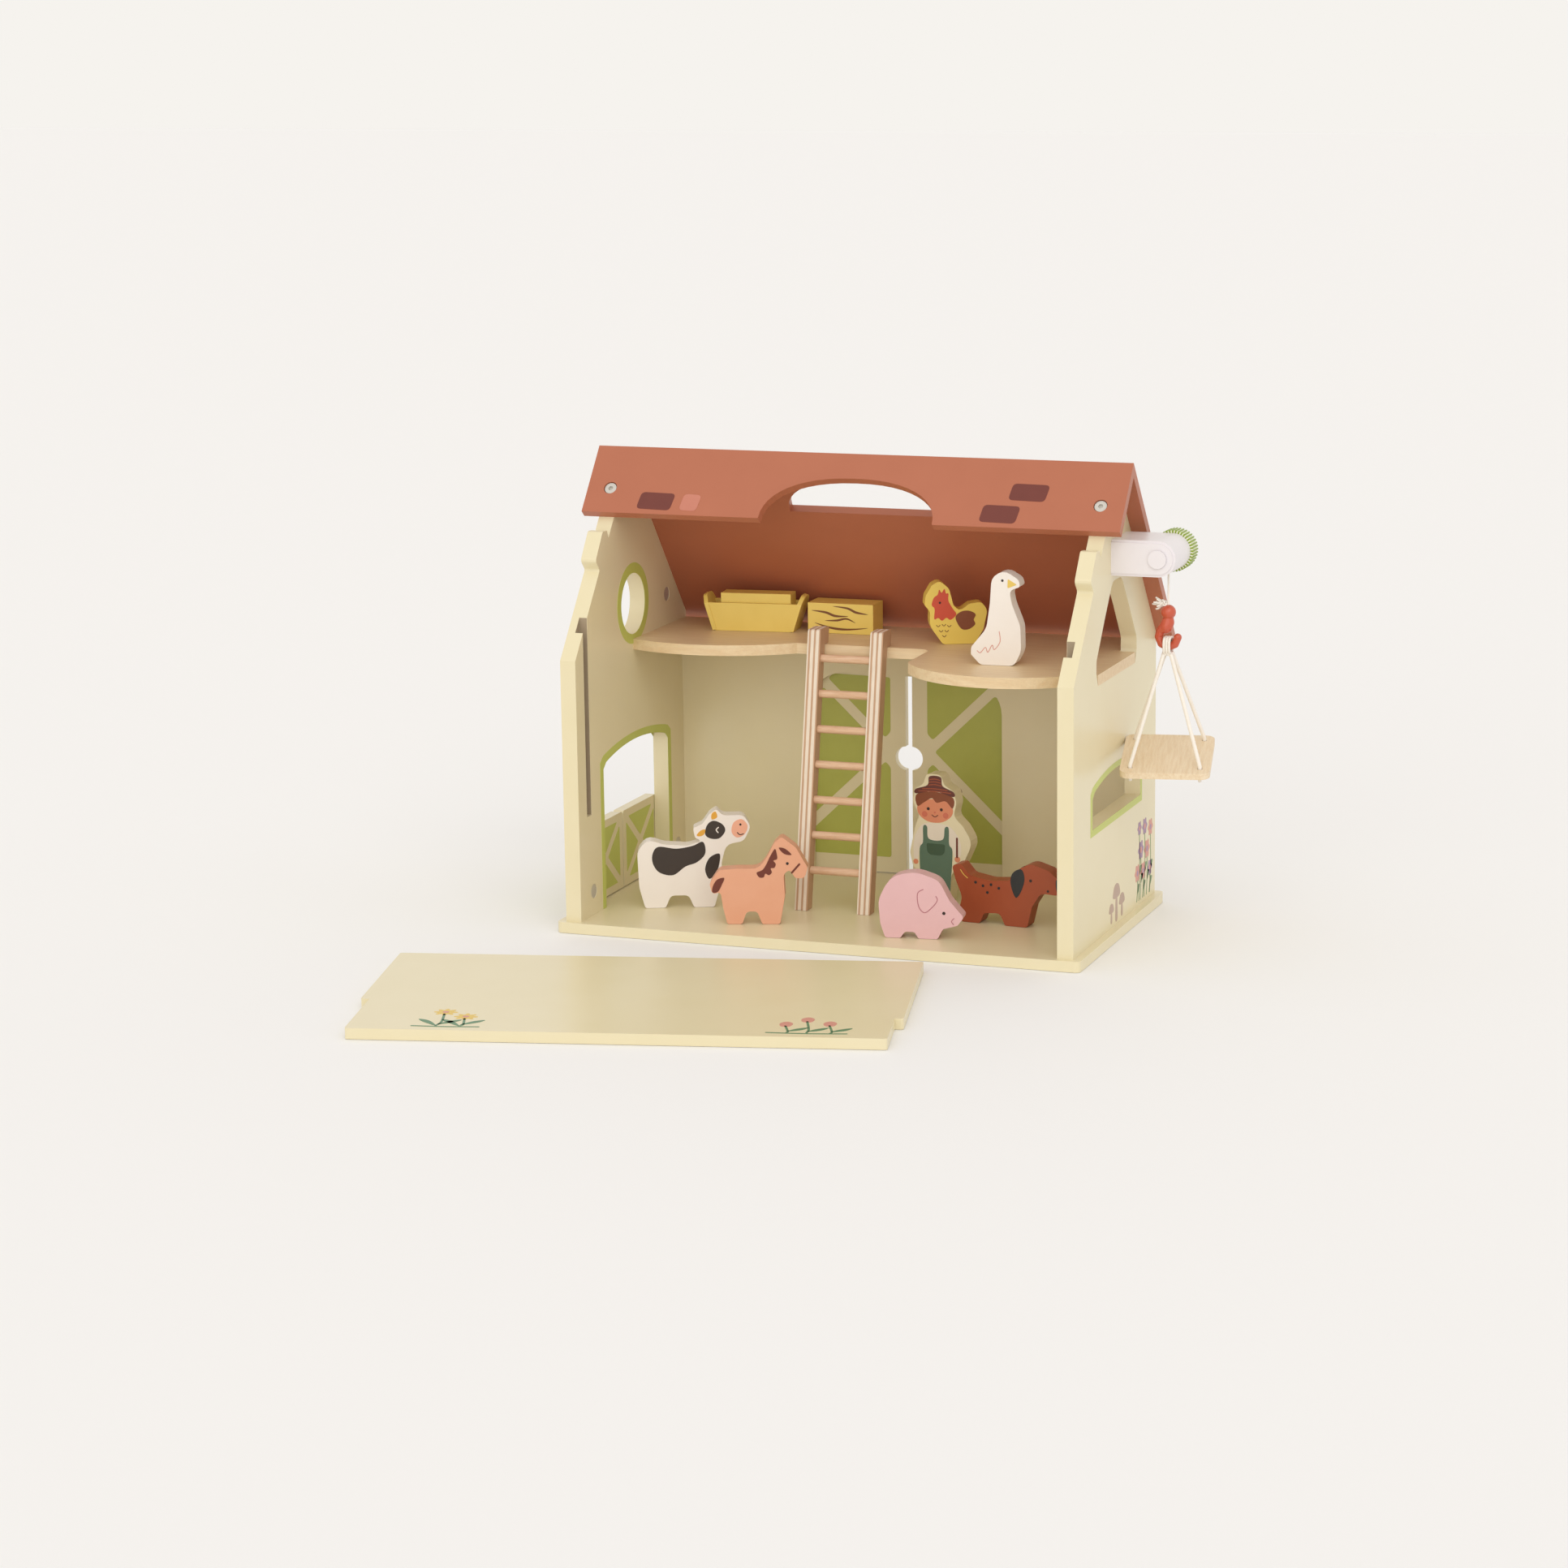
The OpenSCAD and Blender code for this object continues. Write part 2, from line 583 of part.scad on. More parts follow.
module grip_cut(side) translate([0, ridge_back, ridge_h]) rotate([-side*pitch, 0, 0])
  mirror([0, side < 0 ? 1 : 0, 0]) translate([0, front_slope, -cut]) linear_extrude(2*cut)
    polygon(concat([for (q = superellipse(grip_w/2, grip_h, 2.25, 24)) [q[0], -q[1]]],
      side < 0 ? [[-grip_w/2, cut/4], [grip_w/2, cut/4]] : []));

module roof_panel(side, s) difference() {
  side_plate(-roof_half, 2*roof_half) roof_section(side, s);
  grip_cut(side);
  for (x = [-wall_mid, wall_mid], b = roof_bolt_places) if (b[0] == side)
    translate([x, 0, 0]) at_slope(side, b[1]) {
    translate([0, 0, roof_t - roof_sink]) cylinder(r = roof_head_r + 2*bolt_play, h = cut);
    translate([0, 0, -cut/2]) cylinder(r = roof_bolt_r + bolt_play, h = cut);
  }
}
module front_roof() color("#B5694B") roof_panel(-1, front_slope);
module rear_roof() color("#B5694B") roof_panel(1, rear_slope);

module roof_bolts() color("silver") for (x = [-wall_mid, wall_mid], b = roof_bolt_places)
  translate([x, 0, 0]) at_slope(b[0], b[1]) difference() {
    union() {
      translate([0, 0, roof_t - roof_sink]) cylinder(r = roof_head_r, h = roof_head_t);
      translate([0, 0, -nut_depth - bolt_past])
        cylinder(r = roof_bolt_r, h = nut_depth + bolt_past + roof_t - roof_sink);
    }
    translate([0, 0, roof_t - roof_sink + roof_head_t - socket_t]) cylinder(r = socket_r, h = cut, $fn = 6);
  }

// Barrel nuts, each cross-bored for its bolt
module barrel_nut(x, bolt_r) difference() {
  rotate([0, sign(x)*90, 0]) translate([0, 0, -wall_t/2 + 0.2]) cylinder(r = nut_r, h = nut_len - 0.3);
  cylinder(r = bolt_r + pin_play, h = 3*nut_r, center = true);
}
module barrel_nuts() color("silver") for (x = [-wall_mid, wall_mid]) {
  for (b = roof_bolt_places) translate([x, 0, 0]) at_slope(b[0], b[1]) translate([0, 0, -nut_depth])
    barrel_nut(x, roof_bolt_r);
  for (y = [-base_bolt_y, base_bolt_y]) translate([x, y, base_t + nut_depth]) barrel_nut(x, base_bolt_r);
}

// Lift-out front panel, lying on the table before the barn
panel_near = [-30.7, -290.9, 0];
module front_panel() color("#E9DDB8") translate(panel_near) rotate([0, 0, panel_turn]) {
  w = wall_in + groove_depth - panel_play;
  v = wall_in - panel_play;
  linear_extrude(panel_t) polygon(rounded([[-v, 0, 1.5], [v, 0, 1.5], [v, panel_step_right, 0],
    [w, panel_step_right, 1.5], [w, panel_h, 1.5], [-w, panel_h, 1.5], [-w, panel_step_left, 1.5],
    [-v, panel_step_left, 0]], 3));
}

// Ladder: two plywood rails with hooked heads, and rungs in blind holes
rail_slope = tan(ladder_lean);
rail_deep = rail_d/cos(ladder_lean);
rail_rear_top = loft_edge_back - leaf_air;
function rail_rear(z) = rail_rear_top - (loft_top - z)*rail_slope;
function rail_mid(z) = rail_rear(z) - rail_deep/2;
rung_bed = 5.5;

module rail(x) difference() {
  side_plate(x - rail_w/2, rail_w) {
    z0 = base_t + rest;
    z1 = loft_top + rest;
    z2 = loft_top + rail_head;
    polygon(rounded([[rail_rear(z0) - rail_deep, z0, 0], [rail_rear(z0), z0, 0], [rail_rear(z1), z1, 0],
      [rail_rear(z1) + rail_hook, z1, 1], [rail_rear(z2) + rail_hook, z2, 1.5],
      [rail_rear(z2) - rail_deep, z2, 1.5]]));
  }
  for (i = [0:rung_count - 1]) rung(i, 0);
}
module rung(i, play) {
  z = base_t + rung_first + i*rung_pitch;
  half = rail_pitch/2 - rail_w/2 + rung_bed;
  translate([ladder_x - half, rail_mid(z), z]) rotate([0, 90, 0]) cylinder(d = rung_d - play, h = 2*half);
}
module ladder_rail_left() color("#E3D2B8") rail(ladder_x - rail_pitch/2);
module ladder_rail_right() color("#E3D2B8") rail(ladder_x + rail_pitch/2);
module ladder_rungs() color("#DDAE8C") for (i = [0:rung_count - 1]) rung(i, 2*eps);

// Winch: a moulded housing on the right wall, with an axle that carries the drum and the ribbed knob
winch_x = wall_out + winch_reach;
winch_y = ridge_back + 3.6;
winch_front = winch_y - winch_d/2;
winch_rear = winch_y + winch_d/2;
winch_screw_r = 1.6;
winch_screw_y = [winch_y - 7, winch_y + 7];
winch_step = 0.8;
boss_r = 5;
foot_len = 6;

module winch_outline(inset) {
  r = winch_h/2 - inset;
  translate([wall_out, winch_axle_h - r]) square([winch_reach, 2*r]);
  translate([winch_x, winch_axle_h]) circle(r);
}
module winch_cheek(y, t, inset) front_plate(y, t) winch_outline(inset);

module winch_housing() color("#F0EEF0") difference() {
  union() {
    winch_cheek(winch_front + winch_step, winch_d - winch_step, 0);
    winch_cheek(winch_front, winch_step + eps, winch_wall*0.7);
  }
  front_plate(winch_front + winch_step + winch_wall, winch_d - winch_step - 2*winch_wall) {
    translate([wall_out + foot_len, winch_axle_h - winch_h/2 - eps])
      square([winch_reach - foot_len, winch_h - winch_wall + eps]);
    translate([winch_x, winch_axle_h]) circle(winch_h/2 - winch_wall);
    translate([winch_x - 3, winch_axle_h - winch_h/2 - eps]) square([winch_h/2 - 1, winch_h/2 - 3]);
  }
  front_plate(winch_front - cut, winch_d + 2*cut) translate([winch_x, winch_axle_h]) circle(axle_r + pin_play);
  for (y = winch_screw_y) translate([wall_out - eps, y, winch_axle_h]) rotate([0, 90, 0])
    cylinder(r = winch_screw_r, h = foot_len - 1);
}

module winch_screws() color("silver") for (y = winch_screw_y)
  translate([wall_in, y, winch_axle_h]) rotate([0, 90, 0]) difference() {
    union() {
      translate([0, 0, -1.8]) cylinder(r = 2*winch_screw_r, h = 1.8);
      cylinder(r = winch_screw_r, h = wall_t + foot_len - 1.2);
    }
    for (turn = [0, 90]) rotate([0, 0, turn]) translate([-1.8, -0.3, -1.8 - eps]) cube([3.6, 0.6, 0.9]);
  }

module turned(y, r, t) translate([winch_x, y, winch_axle_h]) rotate([-90, 0, 0]) cylinder(r = r, h = t);

drum_front = winch_front + winch_step + winch_wall + leaf_air;
drum_rear = winch_rear - winch_wall - leaf_air;
flange_t = 1.5;
module winch_axle() color("#F0EEF0") {
  turned(winch_front - leaf_air - 0.9, boss_r, 0.9);
  turned(winch_front - leaf_air - eps, axle_r, winch_d + 2*leaf_air + knob_t*0.7);
  turned(drum_front, flange_r, flange_t);
  turned(drum_rear - flange_t, flange_r, flange_t);
  turned(drum_front, drum_r, drum_rear - drum_front);
}

// Hoist cord: wound on the drum, off its outer side and down to the hook's eye
winding_len = 9;
module cord_winding() color("#F2ECDD") difference() {
  turned(hoist_y - winding_len/2, drum_r + hoist_cord_d, winding_len);
  turned(hoist_y - winding_len, drum_r, 2*winding_len);
}

rib_depth = 0.7;
module winch_knob() color("#A9B84A") difference() {
  front_plate(winch_rear + leaf_air, knob_t) translate([winch_x, winch_axle_h])
    polygon([for (i = [0:knob_ribs - 1], k = [0:3]) let (a = 360*(i + [0, 0.3, 0.5, 0.8][k])/knob_ribs,
      r = knob_r - (k < 2 ? 0 : rib_depth)) r*[cos(a), sin(a)]]);
  turned(winch_rear, axle_r, knob_t*0.7 + leaf_air);
  turned(winch_rear + leaf_air + knob_t - 1.5, knob_r - 3, 2);
}

// Route of the hoist cord: straight down from the drum's outer side to the bead
hoist_y = winch_y - 3;
hoist_x = winch_x + drum_r + hoist_cord_d/2;
bead_r = 4.1;
bead_z = winch_axle_h - cord_drop;
saddle_drop = 18.9;
saddle_z = bead_z - saddle_drop;
hoist_top = winch_axle_h - 2.9;
hoist_low = bead_z + bead_r - 0.9;
hoist_steps = 6;
module hoist_cord() color("#F2ECDD")
  tube([for (i = [0:hoist_steps]) [hoist_x, hoist_y, hoist_top + (hoist_low - hoist_top)*i/hoist_steps]],
    hoist_cord_d);

// Knot beside the cord on top of the bead, with its frayed end
knot_r = 2;
knot_at = [hoist_x - 2.9, hoist_y, bead_z + 5.4];
fray_r = 3.8;
fray_len = 4.6;
module cord_knot() color("#F2ECDD") {
  hull() {
    translate(knot_at) sphere(r = knot_r, $fn = 14);
    translate([hoist_x - 1.9, hoist_y, bead_z + 4.8]) sphere(r = 1.1, $fn = 14);
  }
  translate(knot_at - [1, 0, 0]) rotate([0, -105, 0])
    cylinder(r1 = 0.7*knot_r, r2 = fray_r, h = fray_len, $fn = 14);
}

// Hook: a bead with an eye above a thick body and a half-round bend
bend_r = 5.3;
bend_step = 45;
hook_body = [-1.2, saddle_z + 10.9];
hook_body_r = 3.8;
hook_elbow = [-4.1, saddle_z + 8.9];
hook_elbow_r = 2.5;
function on_bend(a) = [bend_r*cos(a), saddle_z + bend_r*(1 + sin(a))];
module hook_ball(p, r) translate([p[0], 0, p[1]]) sphere(r, $fn = 16);
module hook() color("#C8563A") translate([hoist_x, hoist_y, 0]) {
  difference() {
    translate([0, 0, bead_z]) sphere(r = bead_r, $fn = 24);
    translate([0, 0, bead_z]) cylinder(d = hoist_cord_d + 0.3, h = bead_r + 1);
  }
  hull() {
    hook_ball([0, bead_z - 2.5], 2.7);
    hook_ball([0.2, bead_z - 5.6], 3.1);
    hook_ball(hook_body, hook_body_r);
  }
  hull() {
    hook_ball(hook_body, hook_body_r - 0.1);
    hook_ball(hook_elbow, hook_elbow_r);
  }
  hull() {
    hook_ball(hook_elbow, hook_elbow_r);
    hook_ball(on_bend(180), hook_bar_r);
  }
  for (a = [180:bend_step:315]) hull() {
    hook_ball(on_bend(a), hook_bar_r);
    hook_ball(on_bend(a + bend_step), hook_bar_r);
  }
}

// Swing: a woven strap over the hook's bend, four cords and a wooden seat with a knot under each hole
strap_w = 4.4;
strap_foot_w = 7;
strap_t = 1.6;
// Half depth, rise and drop of the strap's inside about the saddle
strap_in = [hook_bar_r + 0.8, hook_bar_r + 2.1, hook_bar_r + leaf_air];
strap_low = saddle_z - strap_in[2] - strap_t;
seat_mid = [hoist_x, hoist_y, saddle_z - swing_drop];
seat_hole = [seat_w/2 - 5.5, seat_d/2 - 7];
seat_corner = 5;

module swing_strap() color("#F2ECDD") translate([0, hoist_y, saddle_z]) {
  side_plate(hoist_x - strap_w/2, strap_w) difference() {
    strap_outline(strap_t, 2);
    strap_outline(0, 1);
  }
  box(hoist_x - strap_foot_w/2, hoist_x + strap_foot_w/2, -strap_in[0], strap_in[0],
    -strap_in[2] - strap_t, -strap_in[2]);
}
module strap_outline(grow, r) polygon(rounded([
  [-strap_in[0] - grow, -strap_in[2] - grow, r], [strap_in[0] + grow, -strap_in[2] - grow, r],
  [strap_in[0] + grow, strap_in[1] + grow, r], [-strap_in[0] - grow, strap_in[1] + grow, r]], 4));

// Point of the hanging seat, from its own width, depth and thickness axes
function seat_point(p) =
  let (y = p[1]*cos(seat_tip) - p[2]*sin(seat_tip), z = p[1]*sin(seat_tip) + p[2]*cos(seat_tip))
  seat_mid + [p[0]*cos(seat_turn) - y*sin(seat_turn), p[0]*sin(seat_turn) + y*cos(seat_turn), z];
module on_seat() translate(seat_mid) rotate([0, 0, seat_turn]) rotate([seat_tip, 0, 0]) children();
seat_corners = [[-1, -1], [1, -1], [1, 1], [-1, 1]];

module swing_seat() color("#E3CDAE") on_seat() translate([0, 0, -seat_t]) difference() {
  linear_extrude(seat_t)
    polygon(rounded([for (c = seat_corners) [c[0]*seat_w/2, c[1]*seat_d/2, seat_corner]], 5));
  for (c = seat_corners) translate([c[0]*seat_hole[0], c[1]*seat_hole[1], -eps])
    cylinder(d = swing_cord_d + 0.5, h = seat_t + 2*eps);
}

cord_top_x = 2;
cord_top_y = 1.8;
module swing_cords() color("#F2ECDD") for (c = seat_corners) {
  top = [hoist_x + c[0]*cord_top_x, hoist_y + c[1]*cord_top_y, strap_low - 0.4];
  low = seat_point([c[0]*seat_hole[0], c[1]*seat_hole[1], 1.2]);
  under = seat_point([c[0]*seat_hole[0], c[1]*seat_hole[1], -seat_t]);
  tube(concat([for (i = [0:6]) top + (low - top)*i/6], [under]), swing_cord_d);
}
seat_knot_r = 2.4;
seat_knot_h = 2.6;
module swing_knots() color("#F2ECDD") for (c = seat_corners)
  on_seat() translate([c[0]*seat_hole[0], c[1]*seat_hole[1], -seat_t]) {
    translate([0, 0, -seat_knot_h]) cylinder(r = seat_knot_r, h = seat_knot_h);
    translate([0, 0, -seat_knot_h - 1.6]) cylinder(r1 = 1.5, r2 = 1.1, h = 1.6, $fn = 16);
  }

// Loose pieces: a figure stands at a point of its front foot line, turned about the upright
loft_floor_z = loft_top + rest;
floor_z = base_t + rest;
module stand_at(x, y, z, turn, mid)
  translate([x, y, z]) rotate([0, 0, turn]) translate([-mid, 0, 0]) children();
module figure(outline, t) front_plate(0, t) polygon(rounded(outline));

trough_low = 0.824; // share of the rim's length that the trough keeps at its floor
trough_board = 2.4;
trough_end = 5;
trough_at = [-80.7, 43];
trough_turn = 6.5;
trough_lap = 0.4; // how far the end boards stand past the long boards
end_lean = atan(trough_len*(1 - trough_low)/2/trough_h);
module trough_long_board(y, t, h) front_plate(y, t) {
  low = trough_len*trough_low/2 - 0.6*trough_board;
  wide = h*tan(end_lean);
  polygon([[-low, 0], [low, 0], [low + wide, h], [-low - wide, h]]);
}
module trough_end_outline() polygon(rounded([[-trough_lap, 0, 0], [trough_d + trough_lap, 0, 0],
  [trough_d + trough_lap, trough_h, 2], [trough_d*0.8, trough_h + trough_end, 5],
  [trough_d*0.2, trough_h + trough_end, 5], [-trough_lap, trough_h, 2]]));
module trough() color("#E0BC58") stand_at(trough_at[0], trough_at[1], loft_floor_z, trough_turn, 0) {
  trough_long_board(0, trough_board, trough_h);
  trough_long_board(trough_d - trough_board, trough_board, trough_h);
  trough_long_board(eps, trough_d - 2*eps, trough_board);
  for (side = [-1, 1]) mirror([side < 0 ? 1 : 0, 0, 0]) translate([trough_len*trough_low/2, 0, 0])
    rotate([0, end_lean, 0]) side_plate(-trough_board, trough_board) trough_end_outline();
}

hay_len = 41;
hay_h = 20;
hay_right = 1.2; // the block lies a little right of the trough's middle
module trough_hay() color("#E8C765") stand_at(trough_at[0], trough_at[1], loft_floor_z, trough_turn, 0)
  box(hay_right - hay_len/2, hay_right + hay_len/2, trough_board + leaf_air, trough_d - trough_board - leaf_air,
    trough_board + rest, trough_board + hay_h - 1);

bale_at = [-29.7, 49];
module hay_bale() color("#E8C765") stand_at(bale_at[0], bale_at[1], loft_floor_z, 1, 0)
  box(-bale_len/2, bale_len/2, 0, bale_d, 0, bale_h);

cow_outline = [[4, 0, 1.5], [15.5, 0, 1.5], [18.5, 7, 3], [28.5, 7, 3], [31.5, 0, 1.5], [43, 0, 1.5], [47, 14, 8],
  [47.4, 26, 8], [50, 36, 6], [60, 37.6, 5], [64, 46, 4.5], [60, 52.6, 4], [48, 52.6, 6], [45, 56.4, 1.5],
  [41, 53.6, 2], [37, 48, 2], [31.6, 45.5, 1.5], [32.6, 40, 2], [37, 38, 1.5], [28, 35.6, 8], [15, 36.5, 14],
  [6, 39.6, 6], [0, 33, 8], [0.8, 12, 20]];
module cow() color("#F3EFE8") stand_at(-96.8, -33.8, floor_z, 22, 24.4) figure(cow_outline, figure_t);

horse_outline = [[9.6, 0, 1.5], [17.8, 0, 1.5], [20.4, 7.2, 2.5], [26.2, 7.2, 2.5], [29, 0, 1.5], [38.8, 0, 1.5],
  [41.6, 16, 8], [41, 28, 3], [44.4, 31.4, 2], [47.4, 26, 2.5], [52.6, 26, 3], [54.4, 32, 2.5], [48, 43.4, 5],
  [40, 49.6, 2], [36, 45.8, 2], [31.6, 37.4, 6], [27, 31.4, 8], [15, 31.4, 8], [5, 30.6, 5], [0, 23, 3],
  [1.4, 16.6, 2], [6, 18.4, 1.5], [7.4, 9, 8]];
module horse() color("#D9936C") stand_at(-44, -58.4, floor_z, 17, 24.2) figure(horse_outline, figure_t);

pig_outline = [[3.6, 0, 1.5], [12.4, 0, 1.5], [15, 3.8, 2], [20.6, 3.8, 2], [23, 0, 1.5], [34, 0, 1.5], [37, 6, 3],
  [45.6, 8.4, 2.5], [49.4, 13.4, 2], [45.4, 17.8, 3], [41, 23, 4], [35, 34.6, 9], [22, 39, 16], [7, 36.6, 14],
  [-0.4, 22, 14], [0.8, 8, 8]];
pig_size = 0.95;
module pig() color("#DDB3B6") stand_at(49.5, -63, floor_z, 8, 18) figure(pig_size*pig_outline, figure_t);

dog_outline = [[5, 0, 1.5], [16, 0, 1.5], [18.4, 6, 2.5], [28, 6.6, 3], [31, 0, 1.5], [44, 0, 1.5], [47, 12, 5],
  [52, 20, 4], [62.6, 19.6, 3], [65.4, 25.6, 2.5], [57, 33, 6], [46, 36.2, 7], [37.6, 31.6, 4], [34, 25.6, 4],
  [22, 24.6, 10], [10, 26.6, 4], [5, 32.6, 1.5], [-0.6, 31.6, 2], [1.6, 23.6, 4], [5.6, 14, 8], [3.4, 6, 5]];
module dog() color("#A04F2A") stand_at(83.3, -19.9, floor_z, -5, 24.9) figure(dog_outline, figure_t);

hen_outline = [[10, 0, 3], [28, 0, 3], [32.8, 8, 8], [35.2, 19, 5], [31.6, 23.6, 3], [25, 22.6, 3], [19.4, 18.6, 3],
  [16, 22, 3], [13.6, 31.4, 4], [8.4, 36, 3], [4, 33.6, 2.5], [0.4, 27.6, 2.5], [-0.2, 22.4, 1.5], [3, 18.6, 4],
  [2.4, 11, 10]];
module hen() color("#E6C34F") stand_at(45.9, 35.4, loft_floor_z, 25, 19.5) figure(hen_outline, figure_t);

goose_outline = [[5, 0, 4], [24, 0, 4], [28, 8, 10], [27.6, 22, 12], [22.8, 34, 20], [21.4, 41.4, 3], [27.6, 43.4, 1.5],
  [26.6, 47.4, 4], [19, 52, 6], [11.6, 48.6, 7], [10.6, 34, 30], [8.6, 20, 10], [0, 9.6, 3], [-0.2, 5.6, 1.5]];
module goose() color("#F3F0EA") stand_at(85.8, -23.5, loft_floor_z, 2, 14.2) figure(goose_outline, figure_t);

farmer_outline = [[4, 0, 1.5], [12.2, 0, 1.5], [13, 10, 1], [13.8, 0, 1.5], [22.6, 0, 1.5], [23.6, 16, 8], [26, 20.8, 2],
  [30.6, 23, 3], [36.6, 36, 8], [31, 45, 8], [25, 50.6, 5], [27, 58, 6], [25.4, 64.6, 3], [19.6, 68, 3], [17.4, 73.8, 3],
  [8.6, 73.8, 3], [7, 68, 3], [1.6, 64.6, 3], [0.4, 57, 6], [4.4, 49.6, 4], [1.6, 42.6, 5], [-1.6, 28, 5], [0, 21, 2.5],
  [3.8, 16, 6]];
module farmer() color("#5F7D62") stand_at(35, 20, floor_z, -5, 13) figure(farmer_outline, farmer_t);

base_board();
left_wall();
right_wall();
back_wall();
loft_floor();
front_roof();
rear_roof();
roof_bolts();
barrel_nuts();
base_bolts();
back_wall_screws();
door_hinge_plates();
door_hinge_pins();
back_door_left();
back_door_right();
door_hinge_wing_left();
door_hinge_wing_right();
gate_hinge_plates();
gate_hinge_pins();
gate_front();
gate_rear();
gate_hinge_wing_front();
gate_hinge_wing_rear();
front_panel();
ladder_rail_left();
ladder_rail_right();
ladder_rungs();
winch_housing();
winch_screws();
winch_axle();
winch_knob();
cord_winding();
hoist_cord();
cord_knot();
hook();
swing_strap();
swing_cords();
swing_knots();
swing_seat();
trough();
trough_hay();
hay_bale();
cow();
horse();
pig();
dog();
hen();
goose();
farmer();
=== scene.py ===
import logging
import math
from dataclasses import dataclass, field
from enum import Enum
from typing import Sequence

import bmesh
import bpy
import numpy as np
from mathutils import Matrix


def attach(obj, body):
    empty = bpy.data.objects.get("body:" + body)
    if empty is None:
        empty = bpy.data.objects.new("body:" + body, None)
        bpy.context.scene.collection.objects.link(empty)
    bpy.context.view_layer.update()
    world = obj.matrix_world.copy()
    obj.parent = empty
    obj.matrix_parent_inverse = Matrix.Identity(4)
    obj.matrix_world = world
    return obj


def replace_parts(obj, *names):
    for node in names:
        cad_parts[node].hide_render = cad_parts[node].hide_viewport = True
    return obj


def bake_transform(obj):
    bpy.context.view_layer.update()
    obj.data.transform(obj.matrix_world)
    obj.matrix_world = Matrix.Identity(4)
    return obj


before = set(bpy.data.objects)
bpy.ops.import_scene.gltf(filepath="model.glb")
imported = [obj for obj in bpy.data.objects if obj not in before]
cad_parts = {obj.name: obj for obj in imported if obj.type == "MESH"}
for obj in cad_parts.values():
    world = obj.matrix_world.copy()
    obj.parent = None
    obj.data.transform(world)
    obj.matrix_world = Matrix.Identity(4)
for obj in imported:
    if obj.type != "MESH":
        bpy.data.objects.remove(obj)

# Looks of a wooden play barn: painted boards, printed trims, a ladder, a cord winch with a swing and play
# pieces. Lengths are millimetres in the object's own frame; meshes, the camera and the floor are in metres.

MM = 0.001
LOG = logging.getLogger("barn")
Points = Sequence[Sequence[float]]


def linear(code: str) -> tuple[float, float, float, float]:
    """Turns an sRGB hex colour into linear light, channel by channel.

    Args:
        code: six hex digits with a leading hash.

    Returns:
        Red, green, blue and an alpha of one.
    """
    c = np.array([int(code[i:i + 2], 16) for i in (1, 3, 5)]) / 255
    v = np.where(c <= 0.04045, c / 12.92, ((c + 0.055) / 1.055) ** 2.4)
    return (float(v[0]), float(v[1]), float(v[2]), 1.0)


class Surface(Enum):
    """How a finish was made, which decides its pattern and relief."""

    RIBBED = "moulded plastic, green and pale stripes round the axle"
    LACQUER = "sprayed lacquer on fibreboard"
    PAINT = "printed or brushed paint on wood"
    WOOD = "planed wood under clear lacquer"
    PLY = "plywood with its layers in view"
    MOULDED = "injection moulded plastic"
    PLATED = "zinc or brass plated steel"
    CORD = "laid cotton"


class Layer(float, Enum):
    """Height of a printed layer over its face, so that one printed on another doesn't lie in its plane."""

    SUNK = -0.02
    UNDER = 0.07
    STALK = 0.08
    PLAIN = 0.10
    SPOT = 0.12
    OVER = 0.14


def add_node(tree: bpy.types.NodeTree, kind: str, settings: dict | None = None, **links) -> bpy.types.Node:
    """Adds one shader node.

    Args:
        tree: the material's node tree.
        kind: Blender's name of the node type.
        settings: node properties by name, and under "stops" the places and colours of a colour ramp.
        links: input name or number (with a leading underscore) to a value or to another node's output.

    Returns:
        The new node.
    """
    made = tree.nodes.new(kind)
    for key, value in (settings or {}).items():
        if key == "stops":
            for stop, (position, colour) in zip(made.color_ramp.elements, value):
                stop.position, stop.color = position, colour
        else:
            setattr(made, key, value)
    for key, value in links.items():
        place = int(key[1:]) if key[0] == "_" and key[1:].isdigit() else key.replace("_", " ")
        socket = made.inputs[place]
        if isinstance(value, bpy.types.NodeSocket):
            tree.links.new(value, socket)
        else:
            socket.default_value = value
    return made


